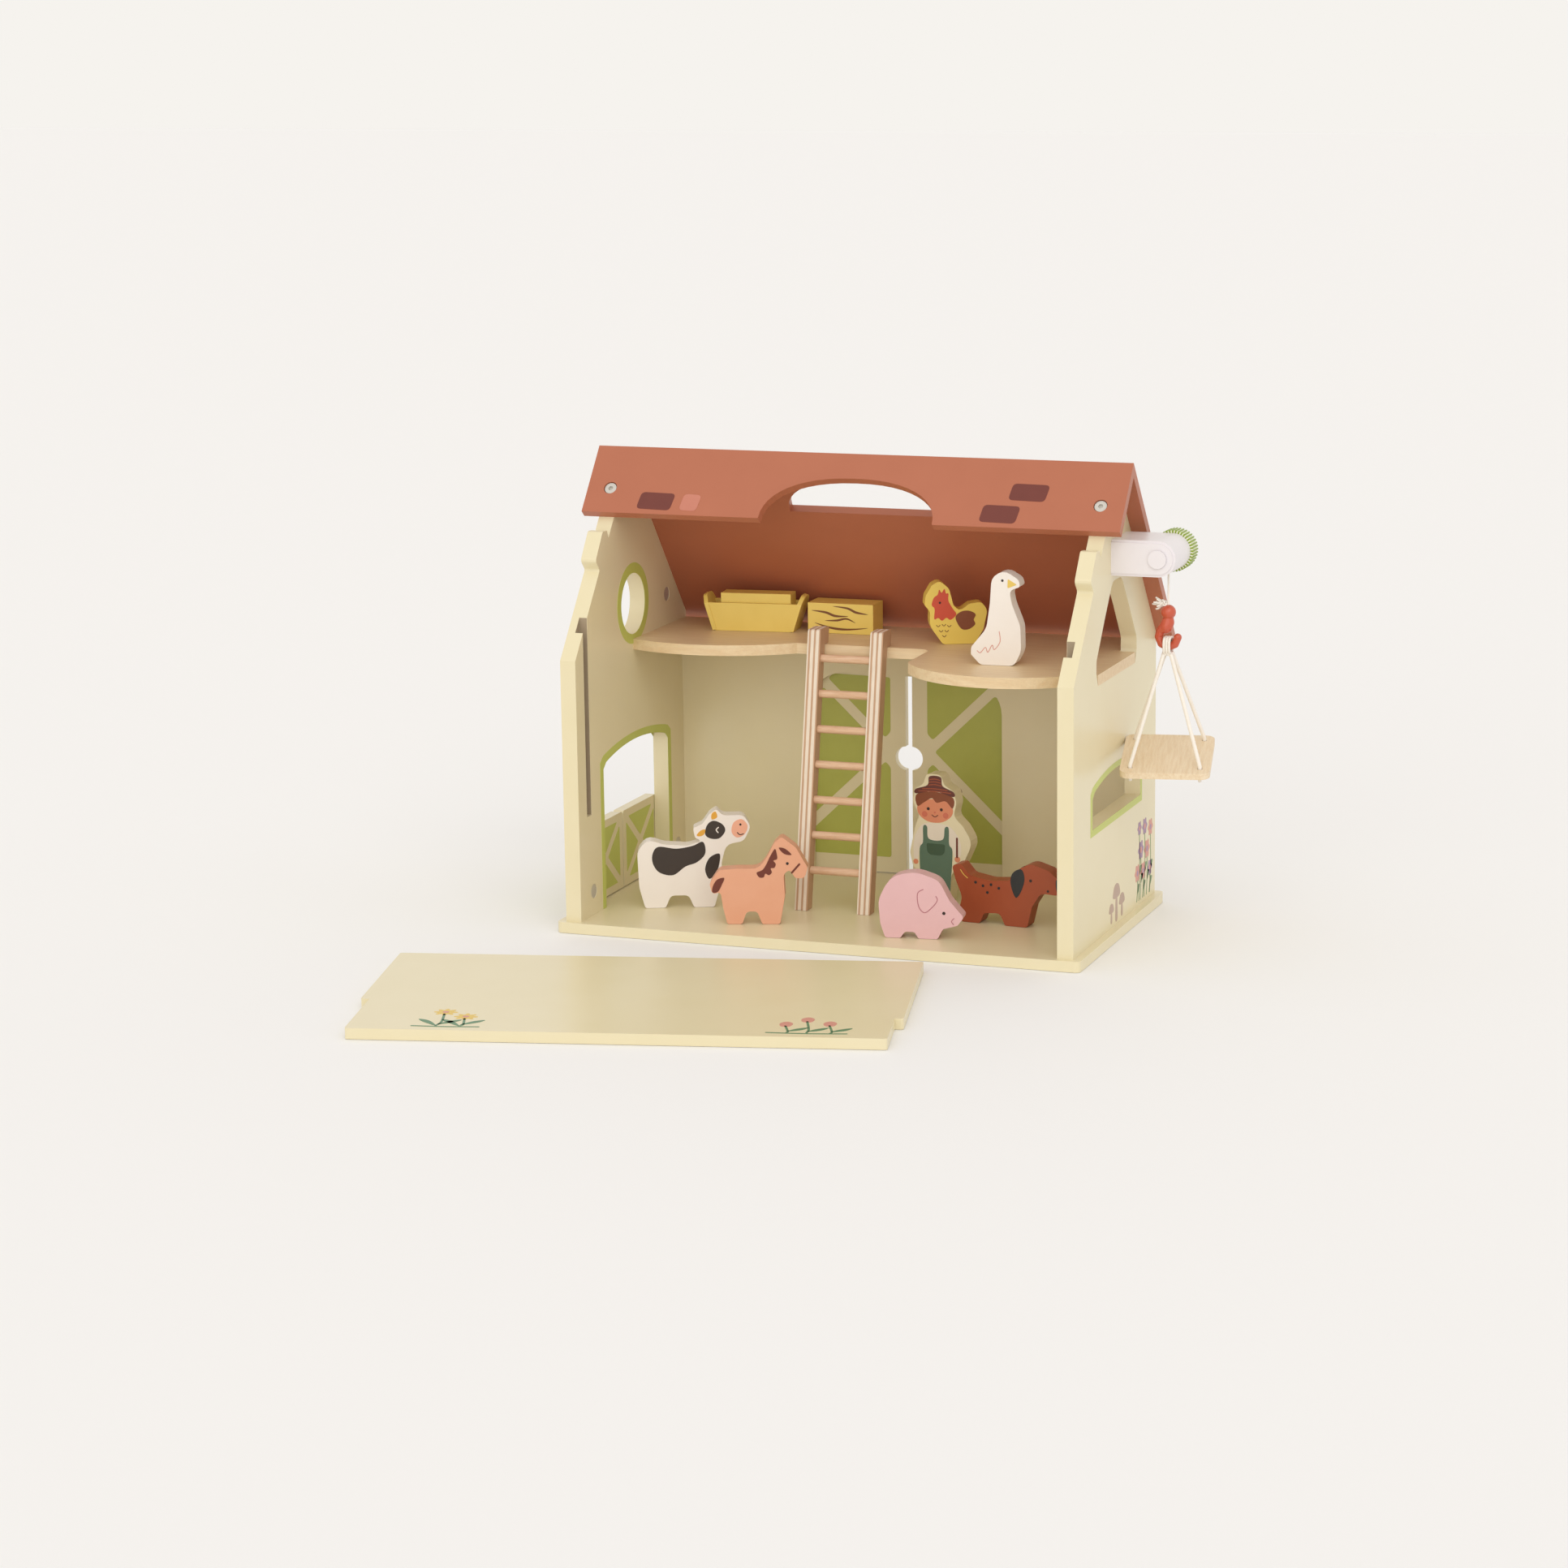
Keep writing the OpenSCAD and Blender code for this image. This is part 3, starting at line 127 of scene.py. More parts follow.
@dataclass(frozen=True)
class Finish:
    """One real finish: its two tones, its gloss and the scale of its pattern."""

    name: str
    surface: Surface
    tone: str
    second: str
    roughness: float = 0.45
    scale_mm: float = 6.0
    relief_mm: float = 0.02
    metallic: float = 0.0
    coat: float = 0.0
    along: tuple[float, float, float] = (1.0, 1.0, 1.0)
    centre: tuple[float, float, float] = (0.0, 0.0, 0.0)
    turn: tuple[float, float, float] = (0.0, 0.0, 0.0)

    def material(self) -> bpy.types.Material:
        """Builds the material once and returns the same one after that."""
        found = bpy.data.materials.get(self.name)
        if found:
            return found
        made = bpy.data.materials.new(self.name)
        made.use_nodes = True
        tree = made.node_tree
        shader = tree.nodes["Principled BSDF"]
        place = add_node(tree, "ShaderNodeTexCoord").outputs["Object"]
        # TEXTURE mode undoes the piece's place and turn, so the pattern lies along the piece itself
        local = add_node(tree, "ShaderNodeMapping", {"vector_type": "TEXTURE"}, Vector=place,
                         Location=tuple(c * MM for c in self.centre), Rotation=self.turn).outputs[0]
        stretched = add_node(tree, "ShaderNodeVectorMath", {"operation": "MULTIPLY"}, _0=local,
                             _1=self.along).outputs[0]
        colour, height = self.pattern(tree, local, stretched)
        tree.links.new(colour, shader.inputs["Base Color"])
        bump = add_node(tree, "ShaderNodeBump", Strength=0.6, Distance=self.relief_mm * MM, Height=height)
        tree.links.new(bump.outputs[0], shader.inputs["Normal"])
        shader.inputs["Roughness"].default_value = self.roughness
        shader.inputs["Metallic"].default_value = self.metallic
        shader.inputs["Coat Weight"].default_value = self.coat
        shader.inputs["Coat Roughness"].default_value = 0.25
        if self.surface is Surface.CORD:
            # fibres that stand off the cord catch the light at its edges
            shader.inputs["Sheen Weight"].default_value = 0.25
        return made

    def pattern(self, tree: bpy.types.NodeTree, local: bpy.types.NodeSocket,
                stretched: bpy.types.NodeSocket) -> tuple[bpy.types.NodeSocket, bpy.types.NodeSocket]:
        """Makes the colour and the height of the finish.

        Args:
            tree: the material's node tree.
            local: the piece's own coordinates in metres.
            stretched: the same, drawn out along the grain.

        Returns:
            The colour socket and the height socket.
        """
        size = 1 / (self.scale_mm * MM)
        share = add_node(tree, "ShaderNodeTexNoise", Vector=stretched, Scale=size, Detail=5.0,
                         Roughness=0.6).outputs["Fac"]
        if self.surface is Surface.PLY:
            return self.plies(tree, local, share), share
        if self.surface is Surface.WOOD:
            return self.grain(tree, stretched, share, size)
        if self.surface is Surface.RIBBED:
            return self.ribs(tree, local), share
        # broad clouds between the two tones, nine times as wide as the relief
        wide = add_node(tree, "ShaderNodeTexNoise", Vector=local, Scale=size / 9, Detail=3.0)
        mixed = add_node(tree, "ShaderNodeMix", {"data_type": "RGBA"}, Factor=wide.outputs["Fac"],
                         _6=linear(self.tone), _7=linear(self.second))
        return mixed.outputs[2], share

    def plies(self, tree: bpy.types.NodeTree, local: bpy.types.NodeSocket,
              share: bpy.types.NodeSocket) -> bpy.types.NodeSocket:
        """Layers of a sheet: the distance across it over one ply, as a triangle wave bent by the grain.

        Args:
            tree: the material's node tree.
            local: the piece's own coordinates in metres.
            share: the grain, from 0 to 1.

        Returns:
            The colour socket.
        """
        ply_mm, uneven = 1.5, 0.22
        across = add_node(tree, "ShaderNodeSeparateXYZ", Vector=local).outputs[self.ply_axis()]
        turns = add_node(tree, "ShaderNodeMath", {"operation": "MULTIPLY_ADD"}, _0=across,
                         _1=1 / (ply_mm * MM), _2=-0.5).outputs[0]
        drift = add_node(tree, "ShaderNodeMath", {"operation": "MULTIPLY_ADD"}, _0=share, _1=uneven,
                         _2=turns).outputs[0]
        wave = add_node(tree, "ShaderNodeMath", {"operation": "PINGPONG"}, _0=drift, _1=1.0).outputs[0]
        layers = add_node(tree, "ShaderNodeValToRGB",
                          {"stops": ((0.30, linear(self.second)), (0.48, linear(self.tone)))}, Fac=wave)
        return self.flecked(tree, layers.outputs[0], share, 0.86, 0.5)

    def grain(self, tree: bpy.types.NodeTree, stretched: bpy.types.NodeSocket, share: bpy.types.NodeSocket,
              size: float) -> tuple[bpy.types.NodeSocket, bpy.types.NodeSocket]:
        """Planed wood: two tones along the grain, with pores a fifth as wide.

        Args:
            tree: the material's node tree.
            stretched: the piece's own coordinates, drawn out along the grain.
            share: the grain, from 0 to 1.
            size: scale of the grain's noise.

        Returns:
            The colour socket and the height socket.
        """
        tones = add_node(tree, "ShaderNodeValToRGB",
                         {"stops": ((0.34, linear(self.second)), (0.62, linear(self.tone)))}, Fac=share)
        pores = add_node(tree, "ShaderNodeTexNoise", Vector=stretched, Scale=size * 5,
                         Detail=3.0).outputs["Fac"]
        return self.flecked(tree, tones.outputs[0], pores, 0.9, 0.6), pores

    def ribs(self, tree: bpy.types.NodeTree, local: bpy.types.NodeSocket) -> bpy.types.NodeSocket:
        """Ribs: the angle round the axle times the number of ribs, as a triangle wave cut to two tones.

        Args:
            tree: the material's node tree.
            local: the piece's own coordinates in metres.

        Returns:
            The colour socket.
        """
        rib_count, shift = 40, 79.7
        parts = add_node(tree, "ShaderNodeSeparateXYZ", Vector=local).outputs
        angle = add_node(tree, "ShaderNodeMath", {"operation": "ARCTAN2"}, _0=parts[2],
                         _1=parts[0]).outputs[0]
        turns = add_node(tree, "ShaderNodeMath", {"operation": "MULTIPLY_ADD"}, _0=angle,
                         _1=rib_count / math.pi, _2=shift).outputs[0]
        wave = add_node(tree, "ShaderNodeMath", {"operation": "PINGPONG"}, _0=turns, _1=1.0).outputs[0]
        tones = add_node(tree, "ShaderNodeValToRGB",
                         {"stops": ((0.50, linear(self.tone)), (0.62, linear(self.second)))}, Fac=wave)
        return tones.outputs[0]

    @staticmethod
    def flecked(tree: bpy.types.NodeTree, colour: bpy.types.NodeSocket, share: bpy.types.NodeSocket,
                low: float, strength: float) -> bpy.types.NodeSocket:
        """Darkens a colour by greys between `low` and white.

        Args:
            tree: the material's node tree.
            colour: the colour to darken.
            share: where it is dark, from 0 to 1.
            low: the darkest grey.
            strength: how much of the greys is taken.

        Returns:
            The colour socket.
        """
        greys = add_node(tree, "ShaderNodeValToRGB",
                         {"stops": ((0.35, (low, low, low, 1)), (0.65, (1, 1, 1, 1)))}, Fac=share)
        return add_node(tree, "ShaderNodeMix", {"data_type": "RGBA", "blend_type": "MULTIPLY"},
                        Factor=strength, _6=colour, _7=greys.outputs[0]).outputs[2]

    def ply_axis(self) -> int:
        """The sheet's thickness runs along the axis that the grain is squeezed on most."""
        return int(np.argmax(self.along))


def paint(name: str, tone: str, second: str | None = None, roughness: float = 0.42) -> Finish:
    """A satin paint on wood: even in colour, with the wood's faint relief under it."""
    return Finish("satin paint, " + name, Surface.PAINT, tone, second or tone, roughness, 1.2, 0.012)


# Sprayed lacquer on fibreboard: an even, slightly waxy cream with a faint orange-peel relief
CREAM = Finish("sprayed cream lacquer", Surface.LACQUER, "#E7DCB9", "#E3D7B0", 0.36, 3.0, 0.015, coat=0.3)
# Terracotta lacquer, nearly matt, with broad soft clouds
TERRACOTTA = Finish("terracotta roof lacquer", Surface.LACQUER, "#B66C4E", "#AD6446", 0.42, 3.5, 0.02,
                    coat=0.15)
# Maple-faced board under clear lacquer: pale yellow wood, long fine grain along X
LOFT_WOOD = Finish("clear lacquered maple", Surface.WOOD, "#E8D0A8", "#E0C398", 0.4, 2.2, 0.01,
                   along=(0.06, 1, 1))
# Plywood rails cut so that the layers show on the front: pale and brown stripes along the length
RAIL_LEFT = Finish("birch plywood, left rail", Surface.PLY, "#EBDCC8", "#C39C7B", 0.5, 1.4, 0.02,
                   along=(1.01, 1, 0.05), centre=(-30.3, 0, 0))
RAIL_RIGHT = Finish("birch plywood, right rail", Surface.PLY, "#EBDCC8", "#C39C7B", 0.5, 1.4, 0.02,
                    along=(1.01, 1, 0.05), centre=(6.7, 0, 0))
# Turned beech dowel: warm pinkish tan with short flecks along X
BEECH = Finish("turned beech dowel", Surface.WOOD, "#E3BF9F", "#D6AC88", 0.5, 1.1, 0.02, along=(0.1, 1, 1))
# Moulded white ABS: clean, a little glossy, with a very fine spark-eroded relief
WHITE_ABS = Finish("moulded white plastic", Surface.MOULDED, "#EBE6E9", "#E7E2E5", 0.32, 0.8, 0.006)
# Ribbed knob: forty green stripes round the axle with near-white stripes between them, in strong contrast
GREEN_ABS = Finish("ribbed knob plastic, green and pale stripes", Surface.RIBBED, "#8BA32F", "#EEF0D6", 0.36, 0.8, 0.006,
                   centre=(172.2, 0, 211.6))
# Moulded orange plastic of the hook: polished, with a soft highlight
ORANGE_ABS = Finish("moulded orange plastic", Surface.MOULDED, "#C9583A", "#C05034", 0.28, 1.0, 0.008,
                    coat=0.3)
# Zinc plated screws: pale bluish grey metal, brushed unevenly
ZINC = Finish("zinc plated steel", Surface.PLATED, "#DEDBD4", "#C9C5BD", 0.5, 0.5, 0.01, metallic=0.7)
# Brass plated butt hinges: warm yellow metal, brushed
BRASSED = Finish("brass plated hinge steel", Surface.PLATED, "#B79D62", "#9C8450", 0.35, 0.5, 0.01,
                 metallic=1.0)
# Laid cotton: off-white and soft, its strands drawn by the mesh itself
COTTON = Finish("braided cotton cord", Surface.CORD, "#F7F2EA", "#EDE5DA", 0.85, 0.5, 0.05)
# The swing's seat: its middle, its tip about X and its turn about the upright, in degrees
SEAT_PLACE, SEAT_TIP, SEAT_TURN = (175.0, 1.6, 103.3), 11.4, 11.0
# Birch plywood under clear lacquer: pale, with fine grain along the seat's depth
SEAT_WOOD = Finish("birch plywood seat", Surface.WOOD, "#F0DDBF", "#E6CDA9", 0.45, 1.6, 0.02,
                   along=(1, 0.08, 1), centre=SEAT_PLACE,
                   turn=(math.radians(SEAT_TIP), 0.0, math.radians(SEAT_TURN)))

# Satin paints of the trims, the prints and the play pieces: flat colour, a low even gloss
LIME = paint("lime trim", "#C6CE6C", "#BFC763")
LEAF_GREEN = paint("door green", "#B9BD5E", "#B0B454")
BRICK = paint("dark brick", "#74352A", "#692E24", 0.5)
ROSE_BRICK = paint("rose brick", "#C9826E", "#C07762", 0.5)
WHITE = paint("warm white", "#F1EAE2", "#ECE3DA")
CHARCOAL = paint("charcoal", "#30261F", "#382C25")
MUZZLE = paint("muzzle pink", "#F0B396", "#EBAA8B")
AMBER = paint("amber", "#E4A93C", "#DB9E33")
INK = paint("ink", "#2A1A16")
TAN = paint("horse tan", "#E3A888", "#DD9F7E")
CHESTNUT = paint("chestnut", "#6E2E1E", "#642818")
PIG_PINK = paint("pig pink", "#E3B9BB", "#DDB1B4")
PIG_LINE = paint("pig outline", "#B0707A")
RUSSET = paint("russet", "#A5502F", "#9A4728")
NIGHT = paint("near black", "#272A2C")
STRAW = paint("straw yellow", "#F0D468", "#EACB5C")
HAY = paint("hay yellow", "#F0D470", "#E9CB63")
STRAW_LINE = paint("straw outline", "#7A4A22")
POPPY = paint("poppy", "#D4553A", "#CB4C33")
UMBER = paint("umber wing", "#8A4E30", "#7F4529")
SKIN = paint("peach", "#DE8F6B", "#D98661")
CHEEK = paint("cheek", "#D2745A", "#CC6C53")
HAIR = paint("brown fringe", "#8B4A2A", "#7F4224")
HAT = paint("hat brown", "#69352A", "#5D2D23")
DENIM = paint("bib green", "#5C7660", "#546E59")
POCKET = paint("pocket green", "#3C553D")
SHIRT = paint("shirt", "#EADFCC", "#E3D7C2")
MAUVE = paint("mauve print", "#A98BA6", "#9D7E9B")
BLUSH = paint("blush print", "#D99A8C", "#CF8E80")
SAGE = paint("sage print", "#7F9A6C", "#748F62")
MOSS = paint("moss print", "#5F8A66", "#567F5D")
TAUPE = paint("taupe print", "#BFA594", "#B59A89")
LEMON = paint("lemon print", "#E6C765", "#DFBD57")
# Lining of the panel grooves: bare fibreboard brown, darkened as painted shade inside the grooves; quite matt
GROOVE_SHADE_BOARD = paint("raw fibreboard darkened as groove shade", "#A8977E", "#9C8A71", 0.85)


@dataclass(frozen=True)
class Face:
    """A flat face to print on: its corner, its two directions, and the way out of it, in millimetres."""

    corner: tuple[float, float, float]
    across: tuple[float, float, float]
    up: tuple[float, float, float]
    out: tuple[float, float, float]

    def lift(self, flat: np.ndarray, height: float) -> np.ndarray:
        """Each point is corner + u across + v up + height out.

        Args:
            flat: points on the face, two numbers each.
            height: distance proud of the face.

        Returns:
            Points in the frame, in metres.
        """
        basis = np.array([self.across, self.up])
        return (np.array(self.corner) + flat @ basis + height * np.array(self.out)) * MM


def standing(x: float, y: float, z: float, turn: float, middle: float, depth: float = 0.0,
             back: bool = False) -> Face:
    """The front or back face of a piece that stands at a point, turned about the upright.

    Args:
        x, y, z: the piece's place.
        turn: degrees about the upright.
        middle: distance of the place from the outline's zero.
        depth: thickness of the piece, for its back face.
        back: True for the back face.

    Returns:
        The face.
    """
    c, s = math.cos(math.radians(turn)), math.sin(math.radians(turn))
    d = depth if back else 0.0
    n = 1.0 if back else -1.0
    return Face((x - middle * c - d * s, y - middle * s + d * c, z), (c, s, 0), (0, 0, 1), (-s * n, c * n, 0))


def closed_curve(points: Points, per: int = 6) -> np.ndarray:
    """A closed smooth curve: each span is the cubic of four neighbours that passes through the middle two.

    Args:
        points: corners of the outline, in order.
        per: samples per span.

    Returns:
        The sampled outline, one row per point.
    """
    p = np.array(points, float)
    a, b, c, d = (np.roll(p, k, axis=0)[:, None, :] for k in (1, 0, -1, -2))
    t = np.linspace(0, 1, per, endpoint=False)[None, :, None]
    q = 0.5 * (2 * b + (c - a) * t + (2 * a - 5 * b + 4 * c - d) * t ** 2 + (3 * b - a - 3 * c + d) * t ** 3)
    return q.reshape(-1, 2)


def open_curve(points: Points, per: int = 8) -> np.ndarray:
    """The same cubic through an open row of points, with the end points doubled."""
    p = np.array(points, float)
    p = np.vstack([p[0], p, p[-1]])
    a, b, c, d = (p[i:len(p) - 3 + i][:, None, :] for i in range(4))
    t = np.linspace(0, 1, per, endpoint=False)[None, :, None]
    q = 0.5 * (2 * b + (c - a) * t + (2 * a - 5 * b + 4 * c - d) * t ** 2 + (3 * b - a - 3 * c + d) * t ** 3)
    return np.vstack([q.reshape(-1, p.shape[1]), p[-1]])


def stroke(points: Points, width: float, per: int = 8) -> np.ndarray:
    """A pen line of even width with round ends: the curve set off to both sides by half the width.

    Args:
        points: the line's points.
        width: the pen's width.
        per: samples per span.

    Returns:
        The closed outline of the line.
    """
    mid = open_curve(points, per) if len(points) > 2 else np.linspace(points[0], points[1], 4)
    run = np.gradient(mid, axis=0)
    run /= np.linalg.norm(run, axis=1)[:, None]
    side = np.stack([-run[:, 1], run[:, 0]], axis=1) * width / 2
    turn = np.linspace(math.pi / 2, -math.pi / 2, 7)[1:-1, None]
    end = mid[-1] + (np.sin(turn) * side[-1] + np.cos(turn) * run[-1] * width / 2)
    start = mid[0] + (-np.sin(turn) * side[0] - np.cos(turn) * run[0] * width / 2)
    return np.vstack([mid + side, end, (mid - side)[::-1], start])


def disc(x: float, y: float, r: float, n: int = 24) -> np.ndarray:
    """A circle of n points round (x, y)."""
    t = np.linspace(0, 2 * math.pi, n, endpoint=False)
    return np.stack([x + r * np.cos(t), y + r * np.sin(t)], axis=1)


def soft_corners(points: Points, cut: float = 1.2) -> np.ndarray:
    """Rounds each corner by a quadratic arc that starts and ends `cut` from it.

    Args:
        points: the corners, in order.
        cut: distance at which the rounding starts.

    Returns:
        The rounded outline.
    """
    p = np.array(points, float)
    back, on = np.roll(p, 1, axis=0) - p, np.roll(p, -1, axis=0) - p
    lb, lo = (np.linalg.norm(v, axis=1)[:, None] for v in (back, on))
    s = p + back / lb * np.minimum(cut, lb * 0.45)
    e = p + on / lo * np.minimum(cut, lo * 0.45)
    t = np.linspace(0, 1, 5)[None, :, None]
    q = (1 - t) ** 2 * s[:, None] + 2 * t * (1 - t) * p[:, None] + t ** 2 * e[:, None]
    return q.reshape(-1, 2)


def put_mesh(name: str, verts: np.ndarray, faces: list, body: str, finish: Finish, slot: str,
             smooth: bool = False) -> bpy.types.Object:
    """Makes a mesh object at the origin, with outward faces, a finish and a body to ride on.

    Args:
        name: the piece's name.
        verts: points in metres.
        faces: corner numbers of each face.
        body: the CAD body it rides on.
        finish: its finish.
        slot: the record's material slot; not used.
        smooth: True for smooth shading.

    Returns:
        The new object.
    """
    mesh = bpy.data.meshes.new(name)
    mesh.from_pydata([tuple(v) for v in verts], [], faces)
    work = bmesh.new()
    work.from_mesh(mesh)
    bmesh.ops.recalc_face_normals(work, faces=work.faces)
    work.to_mesh(mesh)
    work.free()
    mesh.polygons.foreach_set("use_smooth", [smooth] * len(mesh.polygons))
    mesh.materials.append(finish.material())
    made = bpy.data.objects.new(name, mesh)
    bpy.context.scene.collection.objects.link(made)
    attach(made, body)
    LOG.info("%s: %d faces on %s", name, len(mesh.polygons), body)
    return made


@dataclass
class Print:
    """Gathers the printed patches of one finish on one body into one piece; each is a thin closed slab."""

    name: str
    body: str
    finish: Finish
    slot: str
    verts: list = field(default_factory=list)
    faces: list = field(default_factory=list)

    def patch(self, face: Face, outline: np.ndarray, proud: float = Layer.PLAIN) -> None:
        """Adds one slab: the outline lifted to `proud`, the same just under the face, and a wall between."""
        n = len(outline)
        start = sum(len(v) for v in self.verts)
        self.verts.append(face.lift(outline, proud))
        self.verts.append(face.lift(outline, Layer.SUNK))
        ring = np.arange(n)
        nxt = (ring + 1) % n
        self.faces.append((ring + start).tolist())
        self.faces.append((ring[::-1] + start + n).tolist())
        self.faces.extend((np.stack([ring, nxt, nxt + n, ring + n], axis=1) + start).tolist())

    def ring(self, face: Face, outer: np.ndarray, inner: np.ndarray) -> None:
        """Adds a closed band between two outlines of equally many points."""
        n = len(outer)
        start = sum(len(v) for v in self.verts)
        for edge, height in ((outer, Layer.PLAIN), (inner, Layer.PLAIN), (inner, Layer.SUNK),
                             (outer, Layer.SUNK)):
            self.verts.append(face.lift(edge, height))
        ring = np.arange(n)
        nxt = (ring + 1) % n
        for k in range(4):
            a, b = k * n, (k + 1) % 4 * n
            self.faces.extend((np.stack([ring + a, nxt + a, nxt + b, ring + b], axis=1) + start).tolist())

    def make(self) -> bpy.types.Object:
        """Writes the gathered slabs as one piece."""
        return put_mesh(self.name, np.vstack(self.verts), self.faces, self.body, self.finish, self.slot)


def tube(path: np.ndarray, radius: np.ndarray | float, sides: int, strands: int = 3, lay_mm: float = 4.0,
         depth: float = 0.14) -> tuple[np.ndarray, list]:
    """A laid cord with capped ends.

    Round the path, the radius is the cord's less a share that follows the cosine of the strands' number times
    (the angle less a whole turn for each lay of length).

    Args:
        path: centre line, in millimetres.
        radius: radius at each point, or one for all.
        sides: points round the cord.
        strands: number of strands.
        lay_mm: length of one turn of a strand.
        depth: relief of the strands, as a share of the radius.

    Returns:
        Vertices in metres and faces.
    """
    p = np.asarray(path, float)
    d = np.gradient(p, axis=0)
    d /= np.linalg.norm(d, axis=1)[:, None]
    helper = np.where(np.abs(d[:, :1]) < 0.8, [[1.0, 0, 0]], [[0, 1.0, 0]])
    helper = np.repeat(helper[:1], len(p), axis=0)
    u = np.cross(d, helper)
    u /= np.linalg.norm(u, axis=1)[:, None]
    v = np.cross(d, u)
    run = np.concatenate([[0], np.cumsum(np.linalg.norm(np.diff(p, axis=0), axis=1))])
    a = np.linspace(0, 2 * math.pi, sides, endpoint=False)[None, :]
    r = np.broadcast_to(radius, (len(p),))[:, None] * (
        1 - depth / 2 + depth / 2 * np.cos(strands * (a - 2 * math.pi * run[:, None] / lay_mm)))
    cosine, sine = np.cos(a)[..., None], np.sin(a)[..., None]
    ring = p[:, None, :] + r[..., None] * (cosine * u[:, None] + sine * v[:, None])
    n, m = len(p), sides
    i, k = np.meshgrid(np.arange(n - 1), np.arange(m), indexing="ij")
    k2 = (k + 1) % m
    quads = np.stack([i * m + k, i * m + k2, (i + 1) * m + k2, (i + 1) * m + k], axis=-1)
    caps = [list(range(m))[::-1], [(n - 1) * m + j for j in range(m)]]
    return ring.reshape(-1, 3) * MM, quads.reshape(-1, 4).tolist() + caps


def join(parts: list) -> tuple[np.ndarray, list]:
    """Joins (vertices, faces) pairs into one pair, counting the corner numbers on."""
    verts, faces, start = [], [], 0
    for v, f in parts:
        verts.append(v)
        faces.extend([[c + start for c in face] for face in f])
        start += len(v)
    return np.vstack(verts), faces


def laid_cotton(name: str, parts: list, body: str, node: str) -> None:
    """Makes one cotton piece of several cords, which stands for a CAD node.

    Args:
        name: the piece's name.
        parts: the cords, each as vertices and faces.
        body: the CAD body it rides on.
        node: the CAD node that it stands for.
    """
    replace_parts(put_mesh(name, *join(parts), body, COTTON, "white_cord", True), node)


@dataclass(frozen=True)
class Lamp:
    """A soft distant lamp: where it shines from, its strength, its spread in degrees and its tint."""

    name: str
    place: tuple[float, float, float]
    strength: float
    spread: float
    tint: tuple[float, float, float]


